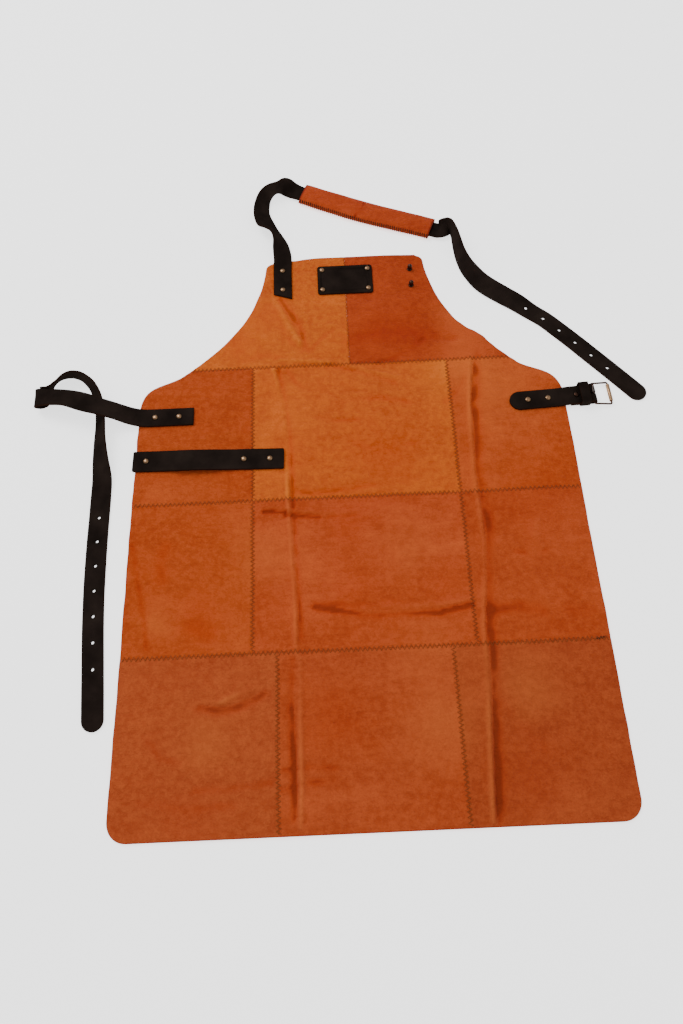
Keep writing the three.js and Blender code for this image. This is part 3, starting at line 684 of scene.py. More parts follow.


# Folds and creases of the laid leather, in millimetres: points along each, its height, then
# how far it spreads to the left and to the right, looking along it.
# Besides their shape, panel() paints the hollows of these in shade and their ridges in highlight.
FOLDS_MM = [
    ([(-108, 302), (-97, 243), (-92, 181), (-91, 105), (-88, 22), (-85, -24), (-84, -57),
      (-84, -103), (-79, -112), (-80, -180), (-80, -261), (-82, -300)], 2.8, 3, 3.8),
    ([(-102, 302), (-91, 243), (-86, 181), (-85, 105), (-82, 18), (-79, -55), (-78, -85)],
     -1.6, 3.6, 2.2),
    ([(-87, -112), (-90, -163), (-88.5, -206), (-87, -248), (-88, -290)], -2, 2.2, 5),
    ([(171, 311), (166, 271), (162, 235), (160, 205), (157.5, 156), (156, 119), (158, 84),
      (158.5, 27), (155, -17), (146, -81), (146, -109), (143, -157), (137, -229), (132, -304)],
     3, 2.8, 4.6),
    ([(178, 308), (165.5, 231.5), (166, 193), (162, 137), (164, 84), (166, 40), (160.5, 0),
      (152, -81), (152.5, -109), (150, -157), (143, -229), (138, -300)], -1.9, 8, 2),
    ([(-4, 303), (64, 281)], 1.6, 4.5, 3),
    ([(-109, 430), (-98, 406), (-84, 374), (-70, 347)], 3.2, 3.2, 5.5),
    ([(-98, 424), (-80, 391), (-68, 364), (-63, 338)], -1.6, 6, 3),
    ([(-136, 374), (-124, 350)], 1.4, 4, 4),
    ([(-99, 317.5), (-63, 314), (-28, 309.5)], 1.8, 3, 2.4),
    ([(-27, 375), (-4, 360)], 1.2, 3.5, 3),
    ([(42, 310), (92, 346)], 1.4, 4, 3),
    ([(-123, 84.5), (-108, 83.8), (-94, 82.2)], -3.6, 2.2, 2.6),
    ([(-94, 77.5), (-78, 76), (-50, 73.5)], -3.6, 2.2, 2.6),
    ([(-120, 88.5), (-60, 80), (30, 78)], 1.4, 3, 3),
    ([(-16, -42), (35, -40), (84, -44)], 1.3, 3.2, 2.8),
    ([(56, -81), (93, -89)], 1.3, 3.2, 2.6),
    ([(-175, -160), (-152, -152), (-134, -145)], 1.6, 4, 3.5),
    ([(185, 343), (150, 330), (120, 335)], 1.8, 7, 5),
    ([(-240, 60), (-205, 20), (-180, -40)], 1.2, 7, 6),
    ([(230, 55), (215, -10), (235, -70)], 1.3, 8, 6),
    ([(35, 220), (60, 165), (50, 125)], 1.3, 8, 7),
    # soft wrinkles in the hem row
    ([(-199, -164), (-181, -168), (-160, -166.5), (-137, -158), (-122, -150.5)], -1.6, 3.2, 6.5),
    ([(-173, -160), (-160, -152), (-151, -139)], 1.2, 4, 4),
    ([(-259, -199), (-244, -220), (-221, -227)], -1, 4.5, 4.5),
    ([(-202, -257), (-166, -257), (-116, -252)], -0.9, 4.5, 4),
    ([(-266, -268), (-216, -276), (-159, -275)], -0.8, 5, 4.5),
    ([(-101, -239), (-72, -237), (-41, -239)], -0.8, 3.2, 3.2),
    ([(-103, -261), (-73, -254), (-44, -253)], -0.7, 3.4, 3.4),
    ([(177, -177), (200, -196), (219, -228)], 1.2, 6, 6),
    ([(158, -176), (177, -202), (199, -227)], -0.5, 8, 8),
    # in the middle row
    ([(-217, -66), (-190, -73)], -1.1, 10, 10),
    ([(-59, -46.5), (-7, -58), (11, -62.5), (52, -60.5), (95, -61), (113, -57), (135, -52)],
     -4.4, 2.4, 4.2),
    ([(-59, -43.5), (-3, -45.5), (28, -43), (60, -41)], -1.1, 4, 5),
    ([(0, -54), (34, -51), (96, -51), (119.5, -48), (135, -47)], 2.2, 3.2, 3),
    ([(-250, 41), (-254, 20), (-253, -3)], -1, 8, 8),
    ([(-293, 46), (-283, -5), (-276, -35), (-267, -89)], -1.2, 4, 3),
    ([(157, -59), (196, -57), (230, -65), (276, -67)], -1, 7, 8.5),
    ([(198, 15), (217, 8), (235.5, 13)], -1, 3, 3.5),
    ([(-39, 73), (-5, 73), (29, 66)], -1.3, 1.8, 2.2),
    ([(-61, 61), (-14, 58), (37, 59)], 1, 3, 3),
    # in the waist row
    ([(-88, 302), (-78, 281), (-57, 264)], -0.9, 3, 4),
    ([(-30, 305), (16, 294), (62, 273)], -0.8, 3.6, 4),
    ([(-22, 245), (40, 250), (80, 239)], -0.7, 4, 4.5),
    ([(131, 237), (148, 254), (160, 271)], -0.5, 4.5, 4.5),
    ([(-81, 111), (-55, 107), (-20, 112), (24, 115)], -1.3, 4, 4.5),
    ([(-52, 224), (-25, 215), (7, 216)], -0.8, 3, 3),
    ([(1, 180), (35, 164), (80, 176)], -0.8, 4, 4),
    ([(-214, 196), (-192, 204), (-165, 209)], 1.1, 3.5, 3.5),
    # and in the bib
    ([(6, 349), (47, 360), (104, 352.5), (150, 341)], -0.9, 9, 15),
    ([(40, 306), (62, 314), (80, 324), (107, 345)], -1.6, 3.4, 5),
    ([(35, 356), (53, 351), (72, 356.5)], -0.7, 6, 8),
    ([(-56, 332), (-36, 355), (-16, 369), (-2, 353)], -0.5, 3.5, 4),
    ([(-107, 430), (-102, 399), (-84, 352), (-67, 333)], -0.8, 3.4, 4.4),
    ([(-151, 318), (-124, 329), (-87, 321)], -0.5, 5, 5),
]
CREASES = [([(px / 1000, py / 1000) for px, py in points], height / 1000, left / 1000, right / 1000)
           for points, height, left, right in FOLDS_MM]
CELL = (0.0021, 0.0030)   # size of a panel's mesh cells along X and Y
HELD_REACH = 0.022        # how far round its hardware the leather is still held down
DARK_DEPTH = 0.0025       # how deep a crease is where its valley is painted fully in shade
HIGHLIGHT_HEIGHT = 0.0030      # how high a fold is where its ridge gets the full painted highlight
HALF_GAP = 0.00003        # half the gap between two panels along a seam
# Where hardware holds the leather flat: x range, then y range.
HELD_FLAT = [(-0.110, -0.076, 0.420, 0.500), (-0.045, 0.045, 0.424, 0.486),
             (0.088, 0.107, 0.430, 0.480), (-0.300, -0.215, 0.215, 0.249),
             (-0.300, -0.270, 0.146, 0.180), (-0.163, -0.090, 0.146, 0.180),
             (0.214, 0.300, 0.219, 0.254)]


def crease_height(x, y, points, height, left, right):
    reach = 3 * max(left, right)
    xs = [px for px, _ in points]
    ys = [py for _, py in points]
    if not (min(xs) - reach < x < max(xs) + reach and min(ys) - reach < y < max(ys) + reach):
        return 0.0
    best = None
    for (x0, y0), (x1, y1) in zip(points, points[1:]):
        dx, dy = x1 - x0, y1 - y0
        t = min(max(((x - x0) * dx + (y - y0) * dy) / (dx * dx + dy * dy), 0), 1)
        ex, ey = x - x0 - t * dx, y - y0 - t * dy
        d2 = ex * ex + ey * ey
        if best is None or d2 < best[0]:
            best = (d2, dx * ey - dy * ex)
    spread = left if best[1] > 0 else right
    if best[0] > 9 * spread * spread:
        return 0.0
    return height * math.exp(-best[0] / (spread * spread))


def freedom(x, y):
    """0 where hardware holds the leather flat, rising to 1 away from it."""
    nearest = 1.0
    for x0, x1, y0, y1 in HELD_FLAT:
        dx = max(x0 - x, 0, x - x1)
        dy = max(y0 - y, 0, y - y1)
        nearest = min(nearest, math.hypot(dx, dy) / HELD_REACH)
    return smooth(nearest)


def leather_height(x, y):
    """Height of the leather's underside, and how much a ridge or a hollow it is there."""
    fade = 0.85 + 0.9 * wander(x * 11, y * 15, 7.7)
    folds = fade * sum(crease_height(x, y, *crease) for crease in CREASES)
    swell = 0.0013 * (1 + wander(x * 9, y * 7, 0.3) * 1.6)
    ripple = 0.00045 * wander(x * 34, y * 26, 4.1)
    height = max(swell + ripple + folds, 0.0)
    return height * freedom(x, y), folds


# Broad soft areas of tone in the hides: x, y, radius, and amount. A positive amount is deeper
# and redder, a negative one lighter and more golden.
TONES = [
    (-0.12, 0.40, 0.035, 0.5), (-0.16, 0.345, 0.03, 0.6), (0.04, 0.355, 0.035, 0.55),
    (0.09, 0.35, 0.035, 0.5), (0.155, 0.39, 0.03, -0.5), (0.17, 0.34, 0.045, -0.7),
    (0.15, 0.295, 0.035, -0.4), (0.19, 0.25, 0.06, -0.35), (0.04, 0.155, 0.045, 0.4),
    (-0.09, 0.17, 0.03, 0.35), (0.24, 0.09, 0.06, 0.35), (-0.01, 0.065, 0.03, 0.35),
    (-0.12, 0.02, 0.04, -0.45), (0.06, 0.025, 0.04, -0.3), (-0.01, -0.02, 0.03, 0.35),
    (-0.195, -0.06, 0.03, 0.5), (0.10, -0.02, 0.03, 0.3), (-0.26, -0.06, 0.02, -0.4),
    (0.08, -0.095, 0.05, -0.3),
    (-0.045, -0.18, 0.04, 0.45), (0.08, -0.20, 0.045, -0.45), (0.19, -0.16, 0.04, -0.4),
    (0.18, -0.26, 0.045, 0.45), (-0.19, -0.20, 0.03, -0.3), (-0.21, -0.30, 0.04, 0.35),
]


def hide_tone(x, y):
    """How much deeper (above 0) or more golden (below 0) the hide is at a point."""
    x += 0.012 * wander(x * 24, y * 24, 5.5)
    y += 0.012 * wander(x * 24, y * 24, 8.5)
    total = 0.0
    for cx, cy, radius, amount in TONES:
        total += amount * math.exp(-((x - cx) ** 2 + (y - cy) ** 2) / radius ** 2)
    return total


def edge_spacing(width, step):
    """Distances from 0 to width, packed closer near both ends."""
    near = [0.0, 0.0004, 0.0010, 0.0020, 0.0035, 0.0055]
    inner = width - 2 * near[-1]
    count = max(int(inner / step), 2)
    middle = [near[-1] + inner * k / count for k in range(1, count)]
    return near + middle + [width - d for d in reversed(near)]


def panel(name, left, right, bottom, top, cut, material, slot):
    """left and right give x at y; bottom and top give y at x. cut names the sides that are
    not sewn: their edges are darker and rounder than the butted edges along a seam."""
    low, high = bottom(0), top(0)
    mean_width = right((low + high) / 2) - left((low + high) / 2)
    us = [d / mean_width for d in edge_spacing(mean_width, CELL[0])]
    vs = [d / (high - low) for d in edge_spacing(high - low, CELL[1])]
    grid = []
    for v in vs:
        y_flat = low + v * (high - low)
        x0, x1 = left(y_flat), right(y_flat)
        for u in us:
            x = x0 + u * (x1 - x0)
            y = bottom(x) + v * (top(x) - bottom(x))
            height, folds = leather_height(x, y)
            free = freedom(x, y)
            sides = {"left": u * (x1 - x0), "right": (1 - u) * (x1 - x0),
                     "bottom": v * (high - low), "top": (1 - v) * (high - low)}
            rounding = 0.0
            welt = 0.0
            # Crease valleys are painted in shade, patchily; the cut edges are darker still.
            patchy = 0.90 + 0.9 * wander(x * 55, y * 55, 2.9)
            tone = min(max(-folds / DARK_DEPTH * patchy, 0), 0.72)
            for side, edge in sides.items():
                if side in cut:
                    rounding = max(rounding, 0.0008 * max(0.0, 1 - edge / 0.0018) ** 2)
                    tone = max(tone, 0.9 * max(0.0, 1 - edge / 0.0020) ** 1.5)
                else:
                    rounding = max(rounding, 0.0001 * max(0.0, 1 - edge / 0.0010) ** 2)
                    tone = max(tone, 0.05 * max(0.0, 1 - edge / 0.0012))
                    welt = max(welt, 0.0004 * math.exp(-((edge - 0.0046) / 0.0018) ** 2) * free)
            # Painted highlight: the higher a fold's ridge, the lighter it is painted.
            highlight_share = min(max(folds / HIGHLIGHT_HEIGHT - 0.25, 0), 1)
            grid.append((x, y, height, rounding, welt, highlight_share, tone))
    vertices = [(x, y, z + SUEDE - rounding + welt) for x, y, z, rounding, welt, _, _ in grid]
    vertices += [(x, y, z - GAP + rounding * 0.5) for x, y, z, rounding, _, _, _ in grid]
    ridge_highlight = [row[5] for row in grid] + [0.0] * len(grid)
    dark = [row[6] for row in grid] * 2
    tones = [hide_tone(row[0], row[1]) for row in grid] * 2
    attributes = {"ridge_highlight": ridge_highlight, "dark": dark, "ruddy": [max(tone, 0.0) for tone in tones],
                  "golden": [max(-tone, 0.0) for tone in tones]}
    n = len(us)
    m = len(vs)
    faces = []
    for layer in range(2):
        base = layer * n * m
        for j in range(m - 1):
            for i in range(n - 1):
                a = base + j * n + i
                faces.append((a, a + 1, a + n + 1, a + n))
    rim = list(range(n)) + [j * n + n - 1 for j in range(1, m)]
    rim += [(m - 1) * n + i for i in range(n - 2, -1, -1)] + [j * n for j in range(m - 2, 0, -1)]
    for a, b in zip(rim, rim[1:] + rim[:1]):
        faces.append((a, b, b + n * m, a + n * m))
    made = make_object(name, vertices, faces, material, attributes)
    dress(made, "apron", name)
    heights = [low + (high - low) * k / 40 for k in range(41)]
    widths = [right(y) - left(y) for y in heights]


def fixed(value):
    return lambda _: value


def left_side(y):
    return side_x(y, -1)


def right_side(y):
    return side_x(y, 1)


def top_edge(x):
    return TOP_Y + between(TOP_EDGE, x)


def seam_x(x):
    """A slightly wandering upright seam."""
    return lambda y: x + 0.0007 * wander(x * 9, y * 11, 2.2)


ROWS = [("hem", HEM_Y, LOWER_SEAM_Y, HEM_SPLIT),
        ("middle", LOWER_SEAM_Y, MIDDLE_SEAM_Y, UPPER_SPLIT),
        ("waist", MIDDLE_SEAM_Y, BIB_SEAM_Y, UPPER_SPLIT)]
LOOKS = {
    "hem": (("tawny_suede", SAND), ("tawny_suede", CLAY), ("russet_suede", UMBER)),
    "middle": (("russet_suede", TAWNY), ("tawny_suede", FOX), ("russet_suede", FOX)),
    "waist": (("russet_suede", TAWNY), ("tawny_suede", HONEY), ("tawny_suede", TAWNY)),
}
SHADES = {"hem": (0.96, 0.98, 1.0), "middle": (1.0, 1.01, 0.96), "waist": (0.98, 1.0, 1.02)}


def shifted(side, amount):
    return lambda y: side(y) + amount


for row_index, (row_name, y0, y1, split) in enumerate(ROWS):
    inner = seam_x(-split), seam_x(split)
    sides = [(left_side, shifted(inner[0], -HALF_GAP)),
             (shifted(inner[0], HALF_GAP), shifted(inner[1], -HALF_GAP)),
             (shifted(inner[1], HALF_GAP), right_side)]
    for column, place in enumerate(("left", "center", "right")):
        slot_name, tint = LOOKS[row_name][column]
        name = f"{row_name}_panel_{place}"
        shade = SHADES[row_name][column]
        light, deep = [[c * shade for c in colour] for colour in tint]
        look = suede(name, light, deep, (row_index * 0.7, column * 0.9, 0))
        bottom_y = y0 + (HALF_GAP if row_name != "hem" else 0)
        outer = {"left": column == 0, "right": column == 2, "bottom": row_index == 0}
        cut = [side for side, is_outer in outer.items() if is_outer]
        panel(name, *sides[column], fixed(bottom_y), fixed(y1 - HALF_GAP), cut, look, slot_name)

bib_seam = seam_x(0)
bib_bottom = fixed(BIB_SEAM_Y + HALF_GAP)
panel("bib_panel_left", left_side, shifted(bib_seam, -HALF_GAP), bib_bottom, top_edge,
      ("left", "top"), suede("bib_panel_left", *GOLD, (3.1, 0, 0)), "golden_suede")
panel("bib_panel_right", shifted(bib_seam, HALF_GAP), right_side, bib_bottom, top_edge,
      ("right", "top"), suede("bib_panel_right", *RUST, (3.7, 0, 0)), "russet_suede")


# ---- sewing ----------------------------------------------------------------------------

def on_leather(x, y, lift):
    return Vector((x, y, leather_height(x, y)[0] + SUEDE + lift))


def zigzag(name, start, end, line, half=0.0030, pitch=0.0056, radius=0.00048, yarn=None):
    """A zigzag seam along line(t) from start to end, lying on the leather."""
    length = (Vector(end) - Vector(start)).length
    count = int(length / pitch) * 2
    points = []
    along = (Vector(end) - Vector(start)).normalized()
    across = Vector((-along.y, along.x))
    for k in range(count + 1):
        x, y = line(k / count)
        side = half if k % 2 else -half
        x += across.x * side
        y += across.y * side
        points.append(on_leather(x, y, 0.0001))
        if k < count:
            nx, ny = line((k + 0.5) / count)
            points.append(on_leather(nx, ny, 0.0004))
    dress(wire(name, points, radius, 5, yarn or thread), "apron")


def straight(start, end):
    return lambda t: (start[0] + (end[0] - start[0]) * t, start[1] + (end[1] - start[1]) * t)


def wandering(seam, low, high):
    """Points of an upright seam, for t from 0 at its lower end to 1 at its upper end."""
    def at(t):
        y = low + (high - low) * t
        return seam(y), y
    return at


INSET = 0.003
for name, y in (("seam_lower", LOWER_SEAM_Y), ("seam_middle", MIDDLE_SEAM_Y),
                ("seam_bib", BIB_SEAM_Y)):
    start, end = (left_side(y) + INSET, y), (right_side(y) - INSET, y)
    zigzag(name, start, end, straight(start, end))
for row_name, y0, y1, split in ROWS:
    for place, x in (("left", -split), ("right", split)):
        start, end = (x, y0 + INSET), (x, y1 - INSET)
        zigzag(f"seam_{row_name}_{place}", start, end, wandering(seam_x(x), start[1], end[1]))
start, end = (0, BIB_SEAM_Y + INSET), (0, TOP_Y - INSET * 0.5)
zigzag("seam_bib_center", start, end, straight(start, end), half=0.0018, radius=0.00034,
       yarn=bib_thread)
# The lower seam is sewn over twice with darker thread where it runs out at the right.
start, end = (0.281, LOWER_SEAM_Y), (0.292, LOWER_SEAM_Y + 0.001)
zigzag("seam_lower_end", start, end, straight(start, end), half=0.0014, pitch=0.0030,
       yarn=cord_thread)


# ---- pad sleeve ------------------------------------------------------------------------

SLEEVE_MIDDLE = Vector((0.0384, 0.5839, 0))
SLEEVE_TURN = turned(-22.77)
SLEEVE_LENGTH = 0.212
SLEEVE_HALF_WIDTH = 0.019
SLEEVE_HALF_HEIGHT = 0.0046
SLEEVE_WALL = 0.0019
SLEEVE_BEND = 0.44        # where along the sleeve it sags the most
SLEEVE_FOLD = 0.455       # where a line of painted shade runs across its top, as for a fold


def sleeve_point(u, a, inset):
    """A point of the sleeve's section: u along it from 0 to 1, angle a round it."""
    half_w = SLEEVE_HALF_WIDTH - inset
    half_h = SLEEVE_HALF_HEIGHT * (1 + 0.06 * math.sin(9 * u)) - inset
    c, s = math.cos(a), math.sin(a)
    y = half_w * math.copysign(abs(c) ** 0.45, c)
    z = half_h * math.copysign(abs(s) ** 0.75, s)
    if y < 0:
        z *= 1 - 0.35 * smooth((-y - 0.010) / 0.009) * (1 if inset == 0 else 0.4)
    slope = min(u / SLEEVE_BEND, (1 - u) / (1 - SLEEVE_BEND))
    bend = -0.5 * (slope + smooth(slope))
    sag = 0.0021 if y > 0 else 0.0042
    ripple = 0.0007 * wander(u * 9, 1.3, 0)
    x = (u - 0.5) * SLEEVE_LENGTH
    local = Vector((x, y + bend * sag + ripple, z + SLEEVE_HALF_HEIGHT))
    return SLEEVE_MIDDLE + (SLEEVE_TURN @ local)


def add_sleeve():
    around, steps = 48, 54
    vertices = []
    dark = []
    for inset in (0.0, SLEEVE_WALL):
        for k in range(steps + 1):
            end = min(k, steps - k)
            for i in range(around):
                a = 2 * math.pi * i / around
                vertices.append(sleeve_point(k / steps, a, inset))
                # The inside is painted fully in shade, a line across the top is painted shade for a
                # fold, and the ends are darkened.
                slant = k / steps - SLEEVE_FOLD - 0.022 * math.cos(a)
                fold = 0.8 * math.exp(-(slant / 0.008) ** 2) if math.sin(a) > 0 else 0.0
                dark.append(1.0 if inset else max(fold, 0.9 - end * 0.9))
    faces = []
    layer = around * (steps + 1)
    for inset in range(2):
        for k in range(steps):
            bridge(faces, inset * layer + k * around, inset * layer + (k + 1) * around, around)
    bridge(faces, 0, layer, around)
    bridge(faces, steps * around, layer + steps * around, around)
    leather = suede("pad_sleeve", *RUST, (5.3, 0, 0))
    sleeve = make_object("neck_pad_sleeve", vertices, faces, leather, {"dark": dark})
    dress(sleeve, "sleeve", "neck_pad_sleeve")
    vertices = []
    faces = []
    stitch_count, margin = 62, 0.012
    for k in range(stitch_count):
        u = margin + (1 - 2 * margin) * k / (stitch_count - 1)
        loop = [sleeve_point(min(u + 0.0012 * j, 1), math.radians(a), -0.0004)
                for j, a in enumerate((126, 138, 150, 163, 178, 196))]
        tube(vertices, faces, loop, 0.0006, 5)
    stitches = make_object("sleeve_stitches", vertices, faces, cord_thread)
    dress(stitches, "sleeve")


add_sleeve()


# ---- short straps, patch and keeper ----------------------------------------------------

def bent_stations(line, width, rounded_start=False):
    """Stations of a strap bent in the X-Z plane; its first end can be half round."""
    points = [Vector((x, 0, z)) for x, z in line]
    across = Vector((0, 1, 0))
    stations = [(p, across, 1.0) for p in points]
    if rounded_start:
        radius = width / 2
        first = points[0]
        lead = []
        for degrees in (2, 8, 18, 30, 45, 60, 75, 90):
            a = math.radians(degrees)
            lead.append((first + Vector((radius * (1 - math.cos(a)), 0, 0)), across, math.sin(a)))
        past = first.x + radius + 0.0005
        stations = lead + [s for s in stations if s[0].x > past or s[0].z < 0.0034]
    return stations


def spaced(points, step=STATION_STEP):
    """Points along a polyline, no further apart than step."""
    line = [points[0]]
    for (x0, z0), (x1, z1) in zip(points, points[1:]):
        count = max(1, math.ceil(math.hypot(x1 - x0, z1 - z0) / step))
        line += [(x0 + (x1 - x0) * k / count, z0 + (z1 - z0) * k / count)
                 for k in range(1, count + 1)]
    return line


def lay(strap, cutters, place, node):
    """Cuts the holes of a strap that was made along X, then lays it where it is riveted on."""
    apply_boolean(strap, cutters)
    strap.data.transform(place)
    dress(strap, "apron", node)


TOWEL_FROM, TOWEL_TO = -0.299, -0.095
BOW_FROM, BOW_LENGTH, BOW_STEPS = -0.276, 0.122, 44
towel_line = [(TOWEL_FROM, ON_PANEL), (-0.2982, ON_PANEL), (-0.2972, ON_PANEL)]
for k in range(BOW_STEPS + 1):
    u = k / BOW_STEPS
    bow = TOWEL_BOW * math.sin(math.pi * u) ** 2
    towel_line.append((BOW_FROM + BOW_LENGTH * u, ON_PANEL + bow))
towel_line += [(-0.0968, ON_PANEL), (-0.0958, ON_PANEL), (TOWEL_TO, ON_PANEL)]
towel_stations = []
for centre, across, share in bent_stations(spaced(towel_line), TOWEL_WIDTH):
    sag = 0.0015 * (centre.z - ON_PANEL) / TOWEL_BOW
    end = min(centre.x - TOWEL_FROM, TOWEL_TO - centre.x)
    share = 1 - 0.10 * max(0.0, 1 - end / 0.002) ** 2
    towel_stations.append((centre - Vector((0, sag, 0)), across, share))
towel = sweep_strap("towel_strap", towel_stations, width=TOWEL_WIDTH)
lay(towel, rivet_holes(TOWEL_RIVETS), TOWEL_LAY, "towel_strap")

tab_line = [(0.218, ON_PANEL), (0.284, ON_PANEL), (0.2875, 0.0039), (0.291, 0.0045),
            (0.2945, 0.0051), (0.298, 0.0055), (0.301, 0.0058), (0.304, 0.0060), (0.319, 0.0060),
            (0.3215, 0.0062), (0.324, 0.0067), (0.327, 0.0077), (0.330, 0.0085)]
for k in range(17):
    a = math.pi / 2 - math.pi * k / 16
    tab_line.append((BAR[0] + FOLD_RADIUS * math.cos(a), BAR[1] + FOLD_RADIUS * math.sin(a)))
tab_line.append((0.301, 0.0030))
tab_stations = bent_stations(spaced(tab_line), TAB_WIDTH, rounded_start=True)
tab = sweep_strap("buckle_tab", tab_stations, width=TAB_WIDTH)
slot = block((0.3289, -0.0017, -0.01), (0.35, 0.0017, 0.03))
lay(tab, rivet_holes(TAB_RIVETS) + [slot], TAB_LAY, "buckle_tab")


def rounded_outline(width, height, radius, corner_steps=6):
    points = []
    corners = ((1, -1, -90), (1, 1, 0), (-1, 1, 90), (-1, -1, 180))
    for sx, sy, first in corners:
        for k in range(corner_steps + 1):
            a = math.radians(first + 90 * k / corner_steps)
            points.append((sx * (width / 2 - radius) + radius * math.cos(a),
                           sy * (height / 2 - radius) + radius * math.sin(a)))
    return points


def add_patch():
    """A flat leather plate with softened, burnished edges and a slight crown."""
    middle = Vector((0, 0.455, 0))
    width, height, corner = 0.082, 0.0516, 0.004
    low, high = 0.0023, PATCH_TOP
    layers = [(0.004, low, 0.0), (0.0006, low, 1.0), (0.0, low + 0.0006, 1.0),
              (0.0, high - 0.0009, 1.0), (0.0003, high - 0.0003, 0.8),
              (0.0010, high - 0.00005, 0.4), (0.0024, high, 0.0), (0.010, high + 0.00008, 0.0),
              (0.020, high + 0.0001, 0.0)]
    vertices = []
    dark = []
    for inset, z, tone in layers:
        ring = rounded_outline(width - 2 * inset, height - 2 * inset, max(corner - inset, 0.0008))
        vertices += [middle + Vector((x, y, z)) for x, y in ring]
        dark += [tone] * len(ring)
    faces = []
    skin(faces, 0, len(layers), len(ring))
    leather = strap_leather("patch_leather", (0.4, 0.1, 0))
    patch = make_object("badge_patch", vertices, faces, leather, {"dark": dark})
    apply_boolean(patch, rivet_holes(PATCH_RIVETS, 0.008))
    dress(patch, "apron", "badge_patch")


add_patch()
KEEPER_X, KEEPER_Z = 0.3203, 0.0076
KEEPER_WIDTH, KEEPER_THICK = 0.0134, 0.0014
keeper_stations = []
for y, z in rounded_outline(0.0308, 0.0138, 0.0024, 5):
    keeper_stations.append((Vector((KEEPER_X, y, KEEPER_Z + z)), Vector((1, 0, 0)), 1.0))
keeper = sweep_strap("keeper_loop", keeper_stations, KEEPER_WIDTH, KEEPER_THICK, closed=True)
keeper.data.transform(TAB_LAY)
dress(keeper, "keeper", "keeper_loop")


# ---- rivets, studs and buckle ----------------------------------------------------------

def add_rivet(name, x, y, top, metal=copper):
    profile = [(0, -0.0006), (0.0015, -0.0006), (0.0015, 0), (0.0036, 0), (0.0040, 0.0002),
               (0.0040, 0.0005), (0.0036, 0.0009), (0.0030, 0.0013), (0.0021, 0.0017),
               (0.0011, 0.0019), (0, 0.0020)]
    # Painted shade: the cap darkens from its rim up its sides, so only the crown stays bright.
    dark = [1, 1, 1, 1, 1, 1, 0.85, 0.5, 0.15, 0, 0]
    cap = lathe(name, [(radius, top + GAP + z) for radius, z in profile], dark, metal)
    cap.location = (x, y, 0)
    dress(cap, "apron", name)


def laid(places, place):
    return [tuple((place @ Vector((x, y, 0)))[:2]) for x, y in places]


for group, places, top in (("neck", NECK_RIVETS, STRAP_TOP), ("patch", PATCH_RIVETS, PATCH_TOP),
                           ("hip", HIP_RIVETS, STRAP_TOP),
                           ("towel", laid(TOWEL_RIVETS, TOWEL_LAY), STRAP_TOP),
                           ("tab", laid(TAB_RIVETS[:2], TAB_LAY), STRAP_TOP)):
    for number, (x, y) in enumerate(places, 1):
        add_rivet(f"{group}_rivet_{number}_cap", x, y, top)
add_rivet("tab_rivet_3_cap", *laid(TAB_RIVETS[2:], TAB_LAY)[0], 0.0073, metal=bronze)

for number, (x, y) in enumerate(STUDS, 1):
    base, ball = 0.0023, 0.0085
    profile = [(0, 0.0019), (0.0015, 0.0019), (0.0015, base), (0.0037, base),
               (0.0040, base + 0.0003), (0.0039, base + 0.0008), (0.0034, base + 0.0012),
               (0.0024, base + 0.0015), (0.0020, base + 0.0022), (0.0020, ball - 0.0030)]
    for degrees in range(-48, 90, 12):
        a = math.radians(degrees)
        profile.append((0.0035 * math.cos(a), ball + 0.0035 * math.sin(a)))
    profile.append((0, ball + 0.0035))
    dark = [1, 1, 1, 0.6, 0.2, 0.1, 0.3, 0.8, 1, 0.9] + [0.0] * (len(profile) - 10)
    stud = lathe(f"stud_{number}", profile, dark, bronze)
    stud.location = (x, y, 0)
    dress(stud, "apron", f"stud_{number}")

PIN = TAB_LAY @ Matrix.Translation((BAR[0], 0, BAR[1]))
BUCKLE = PIN @ turned(FRAME_TILT, "Y")


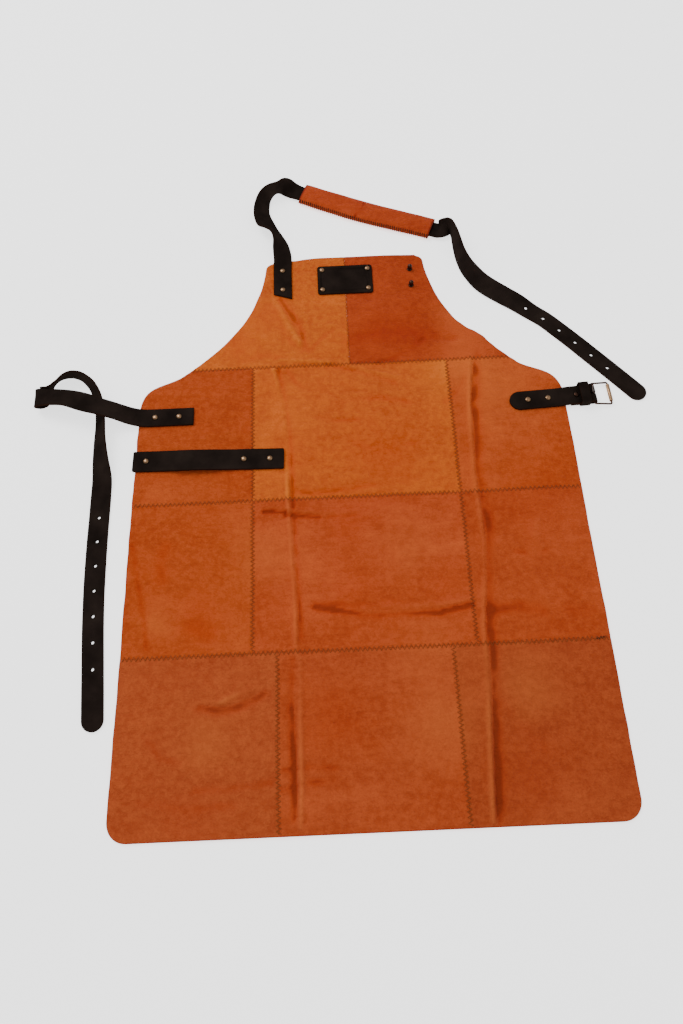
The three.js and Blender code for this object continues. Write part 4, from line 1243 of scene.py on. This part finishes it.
def add_buckle():
    # the frame's length from bar to roller, then its half width at both
    reach, half, outer_half = 0.0245, 0.0159, 0.0172
    frame_wire, eye_wire, prong_wire = 0.0013, 0.0010, 0.0011
    eye_radius, prong_length = 0.00268, 0.0231
    ring = []
    for x, y in rounded_outline(reach, 2 * half, 0.0023, 6):
        widen = 1 + (outer_half / half - 1) * (x / reach + 0.5)
        ring.append((reach / 2 + x, y * widen))
    ring = [Vector((x, y, 0)) for x, y in spaced(ring + ring[:1], 0.002)[:-1]]
    loop = wire("buckle_frame", ring, frame_wire, 14, bronze, closed=True)
    loop.matrix_world = BUCKLE
    dress(loop, "frame", "buckle_frame")

    end = [(0.0025, 0.0106, 0), (0.00238, 0.0109, 0.8), (0.0025, 0.0112, 0), (0.0025, 0.0127, 0),
           (0.0023, 0.013, 0.5), (0.0017, 0.013, 1)]
    section = [(radius, -y, tone) for radius, y, tone in reversed(end)] + end
    profile = [(radius, y) for radius, y, _ in section]
    dark = [tone for _, _, tone in section]
    roller = lathe("buckle_roller", profile, dark, copper, 28, closed=True)
    roller.data.transform(turned(90, "X"))
    roller.matrix_world = BUCKLE @ Matrix.Translation((reach, 0.0008, 0))
    dress(roller, "roller", "buckle_roller")

    lean = math.radians(107)
    direction = Vector((math.cos(lean), 0, math.sin(lean)))
    eye = [eye_radius * Vector((math.cos(a), 0, math.sin(a)))
           for a in (2 * math.pi * k / 24 for k in range(24))]
    prong = wire("buckle_prong", eye, eye_wire, 10, bronze, closed=True)
    shank_line = [direction * (0.0025 + prong_length * k / 8) for k in range(9)]
    shank = wire("shank", shank_line, prong_wire, 12, bronze, taper=0.75)
    apply_boolean(prong, [shank], "UNION")
    prong.matrix_world = PIN
    dress(prong, "prong", "buckle_prong")


add_buckle()

# The back caps and back screws keep their CAD shapes.
for node_name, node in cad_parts.items():
    if node_name.endswith("_back"):
        metal = bronze if node_name.startswith("stud") else copper
        node.data.materials.clear()
        node.data.materials.append(metal)

# ---- floor -----------------------------------------------------------------------------

floor_shader = Shader("floor_paper", Roughness=0.9)
cloud = floor_shader.noise(floor_shader.coordinates, 3)
tooth = floor_shader.noise(floor_shader.coordinates, 900)
floor_tone = floor_shader.mix(cloud, (0.86, 0.86, 0.86), (0.90, 0.90, 0.90))
floor_paper = floor_shader.finish(floor_tone, 0.9, floor_shader.bump(tooth, 0.00005, 0.2))
floor_shader.principled.inputs["Emission Color"].default_value = (1, 1, 1, 1)
floor_shader.principled.inputs["Emission Strength"].default_value = 1.7
FLOOR = 6.0
FLOOR_Z = -0.0004
floor_corners = [(x * FLOOR, y * FLOOR, FLOOR_Z) for x, y in ((-1, -1), (1, -1), (1, 1), (-1, 1))]
floor = make_object("floor", floor_corners, [(0, 1, 2, 3)], floor_paper, flat=True)
